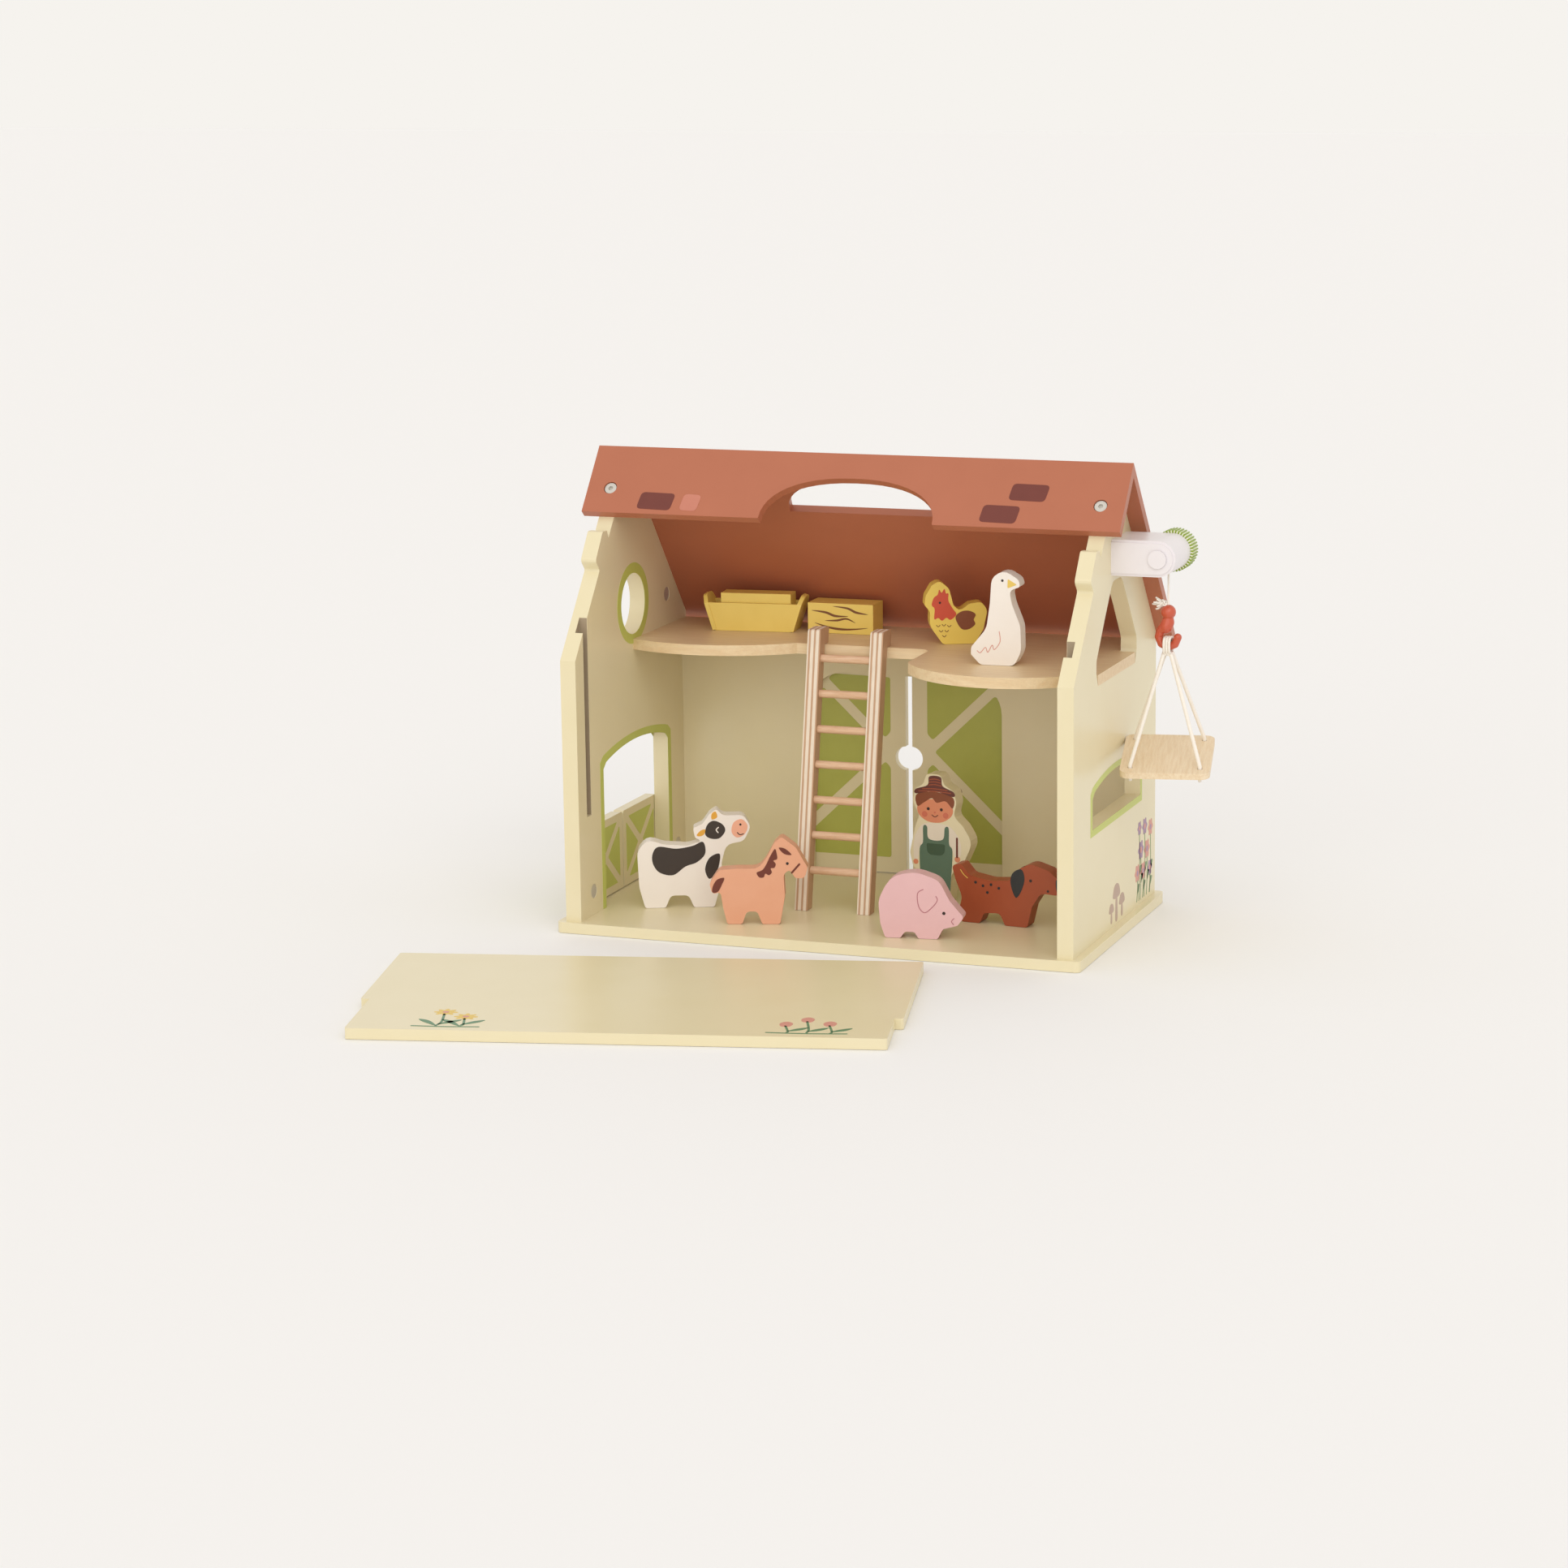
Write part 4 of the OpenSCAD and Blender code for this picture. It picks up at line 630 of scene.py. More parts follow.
@dataclass
class Studio:
    """The camera at the photograph's angle, a pale floor and soft light."""

    lens: float = 92.27
    sensor: float = 36.0
    yaw: float = 20.52
    pitch: float = 11.84
    roll: float = -0.77
    place: tuple[float, float, float] = (0.7294, -2.0742, 0.5377)
    view_end: float = 50.0
    floor_half: float = 9.0
    floor_drop: float = 0.0002
    floor_tone: str = "#F4F4F5"
    floor_roughness: float = 0.8
    surround_tone: str = "#FFFBF5"
    surround_strength: float = 0.86
    backdrop_tone: str = "#F6F3EE"
    lamps: tuple[Lamp, ...] = (Lamp("key", (0.55, -0.80, 0.85), 0.45, 38.0, (1.0, 0.985, 0.96)),
                               Lamp("low front", (0.10, -1.0, 0.30), 0.62, 60.0, (1.0, 0.985, 0.965)))

    def camera(self) -> None:
        """Places the camera: it looks along its yaw, down by its pitch, and is turned by its roll."""
        y, p, r = (math.radians(a) for a in (self.yaw, self.pitch, self.roll))
        ahead = np.array([-math.sin(y) * math.cos(p), math.cos(y) * math.cos(p), -math.sin(p)])
        right = np.array([math.cos(y), math.sin(y), 0])
        up = np.cross(right, ahead)
        right, up = math.cos(r) * right + math.sin(r) * up, -math.sin(r) * right + math.cos(r) * up
        data = bpy.data.cameras.new("camera")
        data.lens, data.sensor_width, data.clip_end = self.lens, self.sensor, self.view_end
        made = bpy.data.objects.new("camera", data)
        turn = np.eye(4)
        turn[:3, 0], turn[:3, 1], turn[:3, 2], turn[:3, 3] = right, up, -ahead, self.place
        made.matrix_world = Matrix(turn.tolist())
        bpy.context.scene.collection.objects.link(made)
        bpy.context.scene.camera = made

    def floor(self) -> None:
        """A wide pale floor that keeps the object's shadow and runs into the pale background."""
        mesh = bpy.data.meshes.new("floor")
        corners = np.array([[-1, -1, 0], [1, -1, 0], [1, 1, 0], [-1, 1, 0]], float) * self.floor_half
        mesh.from_pydata([tuple(v) for v in corners - [0, 0, self.floor_drop]], [], [(0, 1, 2, 3)])
        made = bpy.data.objects.new("floor", mesh)
        bpy.context.scene.collection.objects.link(made)
        pale = bpy.data.materials.new("pale floor")
        pale.use_nodes = True
        shader = pale.node_tree.nodes["Principled BSDF"]
        shader.inputs["Base Color"].default_value = linear(self.floor_tone)
        shader.inputs["Roughness"].default_value = self.floor_roughness
        mesh.materials.append(pale)

    def light(self) -> None:
        """Two soft suns, one from the front right and a low one into the rooms, and a pale surround."""
        for lamp in self.lamps:
            data = bpy.data.lights.new(lamp.name, "SUN")
            data.energy, data.angle, data.color = lamp.strength, math.radians(lamp.spread), lamp.tint
            made = bpy.data.objects.new(lamp.name, data)
            made.matrix_world = self.aim(np.array(lamp.place), np.zeros(3))
            bpy.context.scene.collection.objects.link(made)
        world = bpy.data.worlds.new("surround")
        bpy.context.scene.world = world
        world.use_nodes = True
        tree = world.node_tree
        tree.nodes.clear()
        path = add_node(tree, "ShaderNodeLightPath")
        seen = add_node(tree, "ShaderNodeMath", {"operation": "MAXIMUM"}, _0=path.outputs["Is Camera Ray"],
                        _1=path.outputs["Is Glossy Ray"]).outputs[0]
        seen = add_node(tree, "ShaderNodeMath", {"operation": "MAXIMUM"}, _0=seen,
                        _1=path.outputs["Is Transmission Ray"]).outputs[0]
        soft = add_node(tree, "ShaderNodeBackground", Color=linear(self.surround_tone),
                        Strength=self.surround_strength).outputs[0]
        shown = add_node(tree, "ShaderNodeBackground", Color=linear(self.backdrop_tone),
                         Strength=1.0).outputs[0]
        mixed = add_node(tree, "ShaderNodeMixShader", _0=seen, _1=soft, _2=shown).outputs[0]
        add_node(tree, "ShaderNodeOutputWorld", Surface=mixed)

    @staticmethod
    def aim(place: np.ndarray, target: np.ndarray) -> Matrix:
        """A matrix at `place` whose -Z looks at `target`."""
        back = place - target
        back = back / np.linalg.norm(back)
        right = np.cross([0, 0, 1], back)
        right /= np.linalg.norm(right)
        turn = np.eye(4)
        turn[:3, 0], turn[:3, 1], turn[:3, 2], turn[:3, 3] = right, np.cross(back, right), back, place
        return Matrix(turn.tolist())

    def build(self) -> None:
        """Makes the camera, the floor and the light."""
        self.camera()
        self.floor()
        self.light()
        bpy.context.scene.view_settings.view_transform = "Standard"


def dress(finish: Finish, *nodes: str) -> None:
    """Gives CAD nodes their finish."""
    for name in nodes:
        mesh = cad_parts[name].data
        mesh.materials.clear()
        mesh.materials.append(finish.material())
        LOG.info("%s: %s", name, finish.name)


@dataclass
class House:
    """The base, walls, loft and roof, with their painted trims."""

    base_top: float = 6.2
    wall_out: float = 146.5
    wall_in: float = 137.5
    doorway: tuple[float, float] = (-46.0, 50.0)
    arch_start: float = 88.0
    arch_rise: float = 6.3
    shoulder: float = 2.5
    ridge: tuple[float, float] = (1.0, 261.4)
    pitch: float = 50.5
    round_window: tuple[float, float, float] = (2.0, 172.0, 17.4)
    round_trim: tuple[float, float, float] = (2.0, 172.2, 23.1)
    door_trim: float = 4.7
    window_trim: float = 3.6
    window_sill: float = 69.0
    window_trim_sill: float = 65.2
    print_inset: float = 0.05
    groove: tuple[float, float] = (-70.5, -64.1)
    groove_tops: tuple[float, float] = (166.4, 174.2)
    groove_feet: tuple[float, float] = (63.4, 44.6)
    groove_deep: float = 4.6
    lining: float = 0.2

    def arch(self, grow: float, low: float) -> np.ndarray:
        """The doorway's outline grown by `grow`: two jambs and a flat arch, as (depth, height) points.

        The arch is a parabola, and a grown one has shoulders that fall off over its outer ninth.
        """
        y0, y1 = self.doorway[0] - grow, self.doorway[1] + grow
        half = (y1 - y0) / 2
        t = np.linspace(-1, 1, 25)
        sides = np.clip((1 - np.abs(t)) * 9, 0, 1)
        top = self.arch_start + grow * 0.9 + self.arch_rise * (1 - t ** 2)
        top = top - self.shoulder * (1 - sides) ** 2 * (grow > 0)
        arc = np.stack([(y0 + y1) / 2 + half * t, top], axis=1)
        return np.vstack([[[y0, low]], arc, [[y1, low]]])

    def build(self) -> None:
        """Dresses the boards and prints the trims."""
        dress(CREAM, "base_board", "left_wall", "right_wall", "back_wall")
        dress(LOFT_WOOD, "loft_floor")
        dress(TERRACOTTA, "front_roof", "rear_roof")
        dress(ZINC, "roof_bolts", "barrel_nuts", "base_bolts", "back_wall_screws")
        outer_right = Face((self.wall_out, 0, 0), (0, 1, 0), (0, 0, 1), (1, 0, 0))
        self.trims(outer_right)
        self.bricks()
        self.groove_shade_lining()
        self.blossoms(outer_right)

    def trims(self, outer_right: Face) -> None:
        """Prints the lime rings and frames round the round window, the side doorway and the low window."""
        lime = Print("lime_trims", "barn", LIME, "green_door")
        inset = self.print_inset
        for x, out in ((-self.wall_in, 1), (-self.wall_out, -1)):
            face = Face((x, 0, 0), (0, 1, 0), (0, 0, 1), (out, 0, 0))
            lime.ring(face, disc(*self.round_trim, 64), disc(*self.round_window, 64))
            frame_out, frame_in = self.arch(self.door_trim, self.base_top), self.arch(inset, self.base_top)
            lime.patch(face, np.vstack([frame_out, frame_in[::-1]]))
        lime.ring(outer_right, self.arch(self.window_trim, self.window_trim_sill),
                  self.arch(inset, self.window_sill))
        lime.make()

    def groove_shade_lining(self) -> None:
        """Lines the two panel grooves with thin slabs of painted shade in a raw board brown: the floor and
        both flanks of each.
        """
        # painted shade: dark slabs on the grooves' floors and flanks
        raw = Print("groove_shade_lining", "barn", GROOVE_SHADE_BOARD, "cream_board")
        near, far = self.groove
        near_top, far_top = self.groove_tops
        for side, low in zip((-1, 1), self.groove_feet):
            bed, lip = side * (self.wall_in + self.groove_deep), side * self.wall_in
            y0, y1 = near + self.lining / 2, far - self.lining / 2
            raw.patch(Face((bed, 0, 0), (0, 1, 0), (0, 0, 1), (-side, 0, 0)),
                      np.array([[y0, low], [y1, low], [y1, far_top], [y0, near_top]]))
            for y, out, top in ((near, 1, near_top), (far, -1, far_top)):
                x0, x1 = sorted((bed - side * self.lining, lip + side * self.lining))
                raw.patch(Face((0, y, 0), (1, 0, 0), (0, 0, 1), (0, out, 0)),
                          np.array([[x0, low], [x1, low], [x1, top], [x0, top]]))
        raw.make()

    def slope(self, side: int) -> Face:
        """The outer face of a roof panel: X across, and down the slope from the ridge."""
        c, s = math.cos(math.radians(self.pitch)), math.sin(math.radians(self.pitch))
        return Face((0, self.ridge[0], self.ridge[1]), (1, 0, 0), (0, side * c, -s), (0, side * s, c))

    def bricks(self) -> None:
        """Prints a few loose bricks on the roof, as rounded tiles."""
        front, rear = self.slope(-1), self.slope(1)
        dark_tiles = ((front, -123.5, -102, 29.5, 40.8), (front, 90, 112, 15.5, 26.5),
                      (front, 76, 98, 29.5, 40.8), (rear, -70, -48, 60, 70), (rear, 58, 80, 92, 102),
                      (rear, 83, 105, 80, 90), (rear, -110, -88, 104, 114))
        rose_tiles = ((front, -98, -86.4, 29.8, 40.8), (rear, -45, -33, 60, 70), (rear, 44, 55, 92, 102))
        for name, finish, tiles in (("dark_bricks", BRICK, dark_tiles),
                                    ("rose_bricks", ROSE_BRICK, rose_tiles)):
            piece = Print(name, "barn", finish, "roof_wood")
            for face, *sides in tiles:
                piece.patch(face, self.tile(*sides))
            piece.make()

    @staticmethod
    def tile(x0: float, x1: float, s0: float, s1: float) -> np.ndarray:
        """A four-cornered tile with soft corners, its lower edge a little shorter."""
        return soft_corners([[x0 + 1.2, s0], [x1, s0 + 0.4], [x1 - 1.4, s1], [x0, s1 - 0.5]], 2.6)

    def blossoms(self, face: Face) -> None:
        """Prints a bed of round blossoms and three mushrooms low on the right wall.

        A blossom's edge is a circle with six shallow waves.
        """
        stems = Print("wall_print_stems", "barn", SAGE, "cream_board")
        heads = Print("wall_print_mauve", "barn", MAUVE, "cream_board")
        pinks = Print("wall_print_pink", "barn", BLUSH, "cream_board")
        caps = Print("wall_print_mushrooms", "barn", TAUPE, "cream_board")
        ground = 9
        places = ((45, 25, 4.6), (52, 37, 5.0), (57, 24, 4.6), (60, 49, 4.4), (65, 35, 5.0), (71, 23, 4.2),
                  (72, 46, 4.4), (49, 50, 3.6))
        t = np.linspace(0, 2 * math.pi, 60, endpoint=False)
        for k, (y, z, r) in enumerate(places):
            stems.patch(face, stroke([[y - 1, ground], [y + 0.8, (z + ground) / 2], [y, z - r]], 1.0))
            low = z * 0.4
            stems.patch(face, closed_curve([[y + 0.4, low + 3], [y + 5, low + 7.5], [y + 1, low + 8]]))
            petal = r * (1 + 0.16 * np.cos(6 * t))
            head, heart = (heads, pinks) if k % 2 else (pinks, heads)
            head.patch(face, np.stack([y + petal * np.cos(t), z + petal * np.sin(t)], axis=1))
            heart.patch(face, disc(y, z, r * 0.36), Layer.OVER)
        for y, z, r in ((2, 22, 7.0), (13, 16, 5.4), (-8, 15, 4.6)):
            near, far, high = y - r * 0.7, y + r * 0.7, z + r * 0.75
            caps.patch(face, closed_curve([[y - r, z], [near, high], [y, z + r], [far, high], [y + r, z],
                                           [y, z - r * 0.18]]))
            stalk = [[y - r * 0.2, z - 0.4], [y - r * 0.3, ground], [y + r * 0.3, ground],
                     [y + r * 0.2, z - 0.4]]
            caps.patch(face, closed_curve(stalk), Layer.STALK)
        for piece in (stems, heads, pinks, caps):
            piece.make()


@dataclass
class Openings:
    """The rear doors and the half gates, with their braces and green panels."""

    door_faces: tuple[float, float] = (81.3, 86.3)
    door_panels: tuple[Points, ...] = (
        ((11.2, 122), (11.2, 90), (14.4, 86.6), (49, 119.6), (46, 122.6)),
        ((15.7, 79.6), (59, 38.6), (59, 109), (52, 114.2)),
        ((11.2, 69), (14.4, 72.4), (59, 30.2), (59, 15.8), (11.2, 15.8)))
    door_corner: float = 1.6
    gate_faces: tuple[float, float] = (-146.8, -152.8)
    gate_y: tuple[float, float, float, float] = (-49.0, 1.3, 2.7, 53.0)
    gate_z: tuple[float, float] = (6.6, 51.0)
    gate_corner: float = 1.1
    rail: float = 4.4
    brace: float = 4.6

    def build(self) -> None:
        """Dresses the leaves and hinges and prints the green panels between the braces."""
        dress(CREAM, "back_door_left", "back_door_right", "gate_front", "gate_rear")
        dress(BRASSED, "door_hinge_plates", "gate_hinge_plates", "door_hinge_wing_left",
              "door_hinge_wing_right", "gate_hinge_wing_front", "gate_hinge_wing_rear")
        dress(ZINC, "door_hinge_pins", "gate_hinge_pins")
        for side, body in ((-1, "rear_door_left"), (1, "rear_door_right")):
            green = Print(body + "_panels", body, LEAF_GREEN, "green_door")
            for y, out in zip(self.door_faces, (-1, 1)):
                face = Face((0, y, 0), (side, 0, 0), (0, 0, 1), (0, out, 0))
                for corners in self.door_panels:
                    green.patch(face, soft_corners(corners, self.door_corner))
            green.make()
        for body, y0, y1 in (("front_gate_leaf", *self.gate_y[:2]), ("rear_gate_leaf", *self.gate_y[2:])):
            green = Print(body + "_panels", body, LIME, "green_door")
            for x, out in zip(self.gate_faces, (1, -1)):
                face = Face((x, 0, 0), (0, 1, 0), (0, 0, 1), (out, 0, 0))
                for outline in self.brace_panels(y0, y1, *self.gate_z):
                    green.patch(face, outline)
            green.make()

    def brace_panels(self, y0: float, y1: float, z0: float, z1: float) -> list[np.ndarray]:
        """The four triangles that a gate's frame and its crossed brace leave free.

        Args:
            y0, y1, z0, z1: the leaf's sides.

        Returns:
            Four outlines with soft corners.
        """
        a, b, c, d = y0 + self.rail, y1 - self.rail, z0 + self.rail, z1 - self.rail
        my, mz = (a + b) / 2, (c + d) / 2
        slope = (d - c) / (b - a)
        v = self.brace / 2 * math.hypot(1, slope)
        h = v / slope
        return [soft_corners(q, self.gate_corner) for q in (
            [[a + h, c], [b - h, c], [my, mz - v]], [[a + h, d], [my, mz + v], [b - h, d]],
            [[a, c + v], [my - h, mz], [a, d - v]], [[b, c + v], [b, d - v], [my + h, mz]])]


@dataclass
class Ladder:
    """The plywood rails and the dowel rungs."""

    def build(self) -> None:
        """Dresses the rails and rungs."""
        dress(RAIL_LEFT, "ladder_rail_left")
        dress(RAIL_RIGHT, "ladder_rail_right")
        dress(BEECH, "ladder_rungs")


@dataclass
class Winch:
    """The winch, its cord and the hook."""

    cord_x: float = 175.0
    cord_y: float = 1.6
    drum: tuple[float, float, float] = (172.2, 4.6, 211.6)
    top: float = 208.7
    bead: float = 181.2
    bead_rise: float = 3.2
    cord_foot: float = 3.3
    cord_r: float = 0.6
    lay: float = 3.2
    wound_r: float = 2.8
    wound_turns: int = 7
    wound_width: float = 8.0
    knot_side: float = 2.6
    knot_rise: float = 4.7
    knot_cord_r: float = 0.66

    def build(self) -> None:
        """Dresses the mouldings and makes the laid cord, its turns on the drum and the frayed knot."""
        dress(WHITE_ABS, "winch_housing", "winch_axle")
        dress(GREEN_ABS, "winch_knob")
        dress(ZINC, "winch_screws")
        dress(ORANGE_ABS, "hook")
        z = np.linspace(self.drum[2], self.bead + self.cord_foot, 90)
        path = np.stack([np.full_like(z, self.cord_x), np.full_like(z, self.cord_y), z], axis=1)
        cord = put_mesh("hoist_cord_laid", *tube(path, self.cord_r, 12, lay_mm=self.lay), "barn", COTTON,
                        "white_cord", True)
        # the cord hangs between two bodies, so it is taken off the barn again
        world = cord.matrix_world.copy()
        cord.parent = None
        cord.matrix_world = world
        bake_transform(cord)
        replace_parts(cord, "hoist_cord")
        self.turns()
        self.knot()

    def turns(self) -> None:
        """The cord's turns on the drum: a helix round the axle, as wide as the drum between its flanges."""
        t = np.linspace(0, 2 * math.pi * self.wound_turns, 300)
        y = self.cord_y - self.wound_width / 2 + self.wound_width * t / t[-1]
        path = np.stack([self.drum[0] + self.wound_r * np.cos(t), y,
                         self.drum[2] + self.wound_r * np.sin(t)], axis=1)
        laid_cotton("cord_turns", [tube(path, self.cord_r, 8, lay_mm=self.lay)], "winch_drum", "cord_winding")

    def knot(self) -> None:
        """A knot beside the cord, with a splayed tuft of fibres to the left of it.

        The knot's line goes twice round while its distance from the middle and its depth swing three times.
        """
        x, y, z = self.cord_x - self.knot_side, self.cord_y, self.bead + self.knot_rise
        t = np.linspace(0, 2 * math.pi, 120)
        lobe = 1.15 + 0.6 * np.cos(3 * t)
        turn = np.stack([lobe * np.cos(2 * t) * 0.9, 1.2 * np.sin(3 * t), lobe * np.sin(2 * t)], axis=1)
        link = open_curve([[x + 0.6, y, z - 0.2], [x + 1.2, y + 0.1, z - 0.6], [x + 2.3, y, z - 1.3]], 8)
        laid_cotton("knot_and_tuft",
                    [tube(turn + [x, y, z], self.knot_cord_r, 10, lay_mm=self.lay), *self.tuft(x, y, z),
                     tube(link, self.cord_r, 10, lay_mm=self.lay)], "hoist", "cord_knot")

    @staticmethod
    def tuft(x: float, y: float, z: float) -> list[tuple[np.ndarray, list]]:
        """Two rings of fibres from one point, which bend outwards by a quadratic curve and curl at the end.

        Args:
            x, y, z: the knot's middle.

        Returns:
            The fibres, each as vertices and faces.
        """
        parts = []
        steps = 14
        s = np.linspace(0, 1, steps)[:, None]
        root = np.array([x - 0.9, y, z])
        for ring, reach, count, thick in ((0.35, 4.9, 4, 0.62), (1.0, 4.2, 9, 0.66)):
            a = np.linspace(0, 2 * math.pi, count + 1)[:-1] + reach
            ends = np.stack([x - reach + 0.6 * np.cos(5 * a), y + 2.8 * ring * np.cos(a),
                             z - 0.7 + 3.2 * ring * np.sin(a)], axis=1)
            for number, end in enumerate(ends):
                bend = root + (end - root) * [0.35, 0.8, 0.8]
                fibre = (1 - s) ** 2 * root + 2 * s * (1 - s) * bend + s ** 2 * end
                fibre = fibre + s ** 3 * [0.9 * (-1) ** number, 0, 0.5]
                parts.append(tube(fibre, np.linspace(thick, thick * 0.75, steps), 8, 2, 2.4))
        return parts


@dataclass
class Swing:
    """The strap over the hook, four laid cords, their knots and the seat."""

    hole: tuple[float, float] = (18.75, 20.0)
    saddle: float = 162.3
    cord_top: tuple[float, float, float] = (2.0, 1.8, 158.6)
    cord_r: float = 1.15
    cord_lay: float = 4.6
    seat_top: float = 1.2
    seat_under: float = -3.7
    knot_low: float = -4.9
    knot_cord_r: float = 0.8
    knot_lay: float = 4.0
    strap_gap: float = 1.45
    strap_cord_r: float = 0.78
    strap_reach: tuple[float, float] = (3.8, 4.2)
    strap_rise: float = 0.9
    strap_lay: float = 3.6
    whip_turns: int = 3
    whip_reach: tuple[float, float] = (2.7, 2.3)
    whip_drop: tuple[float, float] = (3.0, 1.2)
    whip_r: float = 0.6

    def seat_point(self, p: Sequence[float]) -> np.ndarray:
        """Turns a point of the seat's own width, depth and thickness axes into the frame: tip, then turn."""
        a, b = math.radians(SEAT_TIP), math.radians(SEAT_TURN)
        y, z = p[1] * math.cos(a) - p[2] * math.sin(a), p[1] * math.sin(a) + p[2] * math.cos(a)
        x, y = p[0] * math.cos(b) - y * math.sin(b), p[0] * math.sin(b) + y * math.cos(b)
        return np.array(SEAT_PLACE) + [x, y, z]

    def build(self) -> None:
        """Makes the cords, the knots under the seat and the strap, and dresses the seat."""
        dress(SEAT_WOOD, "swing_seat")
        cords, knots = [], []
        for cx, cy in ((-1, -1), (1, -1), (1, 1), (-1, 1)):
            cords.append(self.cord(cx, cy))
            knots.extend(self.knot(cx, cy))
        laid_cotton("swing_cords_laid", cords, "swing", "swing_cords")
        laid_cotton("swing_cord_knots", knots, "swing", "swing_knots")
        self.strap()

    def cord(self, cx: int, cy: int) -> tuple[np.ndarray, list]:
        """One taut cord, straight from the strap's foot to the seat's hole and on through it.

        Args:
            cx, cy: the seat's corner, each minus or plus one.

        Returns:
            Vertices and faces.
        """
        x, y = cx * self.hole[0], cy * self.hole[1]
        reach, depth, height = self.cord_top
        top = np.array([SEAT_PLACE[0] + cx * reach, SEAT_PLACE[1] + cy * depth, height])
        low, under = self.seat_point((x, y, self.seat_top)), self.seat_point((x, y, self.seat_under))
        s = np.linspace(0, 1, 70)[:, None]
        path = np.vstack([top + (low - top) * s, low + (under - low) * np.linspace(0.2, 1, 6)[:, None]])
        return tube(path, self.cord_r, 14, lay_mm=self.cord_lay)

    def knot(self, cx: int, cy: int) -> list[tuple[np.ndarray, list]]:
        """A knot that goes twice round under the seat, swinging three times in and out, and its short tail.

        Args:
            cx, cy: the seat's corner, each minus or plus one.

        Returns:
            The knot and the tail, each as vertices and faces.
        """
        x, y = cx * self.hole[0], cy * self.hole[1]
        t = np.linspace(0, 2 * math.pi, 90)
        lobe = 1.05 + 0.4 * np.cos(3 * t)
        loop = np.stack([lobe * np.cos(2 * t), lobe * np.sin(2 * t),
                         0.6 * np.sin(3 * t) + self.knot_low], axis=1)
        loop[:, 0] += x
        loop[:, 1] += y
        turned = np.stack([self.seat_point(q) for q in loop])
        tail = np.stack([self.seat_point((x, y, -z)) for z in (-self.knot_low, 6.0, 6.9, 7.6)])
        return [tube(turned, self.knot_cord_r, 10, lay_mm=self.knot_lay),
                tube(tail, np.array([0.8, 0.9, 1.0, 0.95]), 10, lay_mm=self.knot_lay)]

    def strap(self) -> None:
        """Three cords side by side over the hook's bend, whipped together at their foot by a flat coil.

        Each cord is an ellipse drawn out towards a rectangle, its cosine and sine raised to the power 0.6.
        """
        deep, high = self.strap_reach
        loops = []
        a = np.linspace(0, 2 * math.pi, 97)
        middle = self.saddle + self.strap_rise
        for x in (-self.strap_gap, 0.0, self.strap_gap):
            loop = np.stack([np.full_like(a, SEAT_PLACE[0] + x),
                             SEAT_PLACE[1] + deep * np.sign(np.cos(a)) * np.abs(np.cos(a)) ** 0.6,
                             middle + high * np.sign(np.sin(a)) * np.abs(np.sin(a)) ** 0.6], axis=1)
            loops.append(tube(loop, self.strap_cord_r, 12, lay_mm=self.strap_lay))
        t = np.linspace(0, 2 * math.pi * self.whip_turns, 150)
        coil = np.stack([SEAT_PLACE[0] + self.whip_reach[0] * np.cos(t),
                         SEAT_PLACE[1] + self.whip_reach[1] * np.sin(t),
                         self.saddle - self.whip_drop[0] - self.whip_drop[1] * t / t[-1]], axis=1)
        loops.append(tube(coil, self.whip_r, 10, lay_mm=self.strap_lay))
        laid_cotton("swing_strap_laid", loops, "swing", "swing_strap")


@dataclass
class Panel:
    """The lift-out front panel with two printed clumps of flowers."""

    near: tuple[float, float] = (-30.7, -290.9)
    turn: float = 13.4
    thick: float = 5.8

    def build(self) -> None:
        """Dresses the board and prints two daisies and three buds, with their leaves, on its upper face."""
        dress(CREAM, "front_panel")
        c, s = math.cos(math.radians(self.turn)), math.sin(math.radians(self.turn))
        face = Face((*self.near, self.thick), (c, s, 0), (-s, c, 0), (0, 0, 1))
        stems = Print("panel_print_stems", "lift_out_panel", MOSS, "cream_board")
        petals = Print("panel_print_daisies", "lift_out_panel", LEMON, "cream_board")
        buds = Print("panel_print_buds", "lift_out_panel", BLUSH, "cream_board")
        for x, h in ((-92, 30), (-80, 22)):
            self.daisy(face, x, h, stems, petals, buds)
        stems.patch(face, stroke([[-104, 7], [-88, 6.4], [-70, 7.2]], 1.4))
        for x, h in ((84, 20), (94, 29), (106, 22)):
            self.bud(face, x, h, stems, buds)
        stems.patch(face, stroke([[76, 7.2], [96, 6.4], [116, 7.4]], 1.4))
        for piece in (stems, petals, buds):
            piece.make()

    @staticmethod
    def daisy(face: Face, x: float, h: float, stems: Print, petals: Print, hearts: Print) -> None:
        """A stem with two leaves, and a head whose edge is a circle with eight waves."""
        stems.patch(face, stroke([[x, 8], [x + 1.5, h * 0.5], [x, h]], 1.3))
        for side in (-1, 1):
            leaf = [[x, 9 + side], [x + side * 8, 15], [x + side * 11, 20], [x + side * 5, 17]]
            stems.patch(face, closed_curve(leaf))
        t = np.linspace(0, 2 * math.pi, 72, endpoint=False)
        r = 5.0 * (1 + 0.25 * np.cos(8 * t))
        petals.patch(face, np.stack([x + r * np.cos(t), h + 4 + r * np.sin(t)], axis=1))
        hearts.patch(face, disc(x, h + 4, 1.7), Layer.OVER)

    @staticmethod
    def bud(face: Face, x: float, h: float, stems: Print, buds: Print) -> None:
        """A leaning stem with one leaf and a pointed bud."""
        stems.patch(face, stroke([[x + 2, 8], [x + 2.4, h * 0.5], [x, h]], 1.2))
        stems.patch(face, closed_curve([[x + 2, 10], [x + 9, 13], [x + 12, 18], [x + 6, 15]]))
        buds.patch(face, closed_curve([[x - 2.6, h], [x - 3.2, h + 5], [x, h + 8], [x + 3.2, h + 5],
                                       [x + 2.6, h], [x, h - 1.4]]))


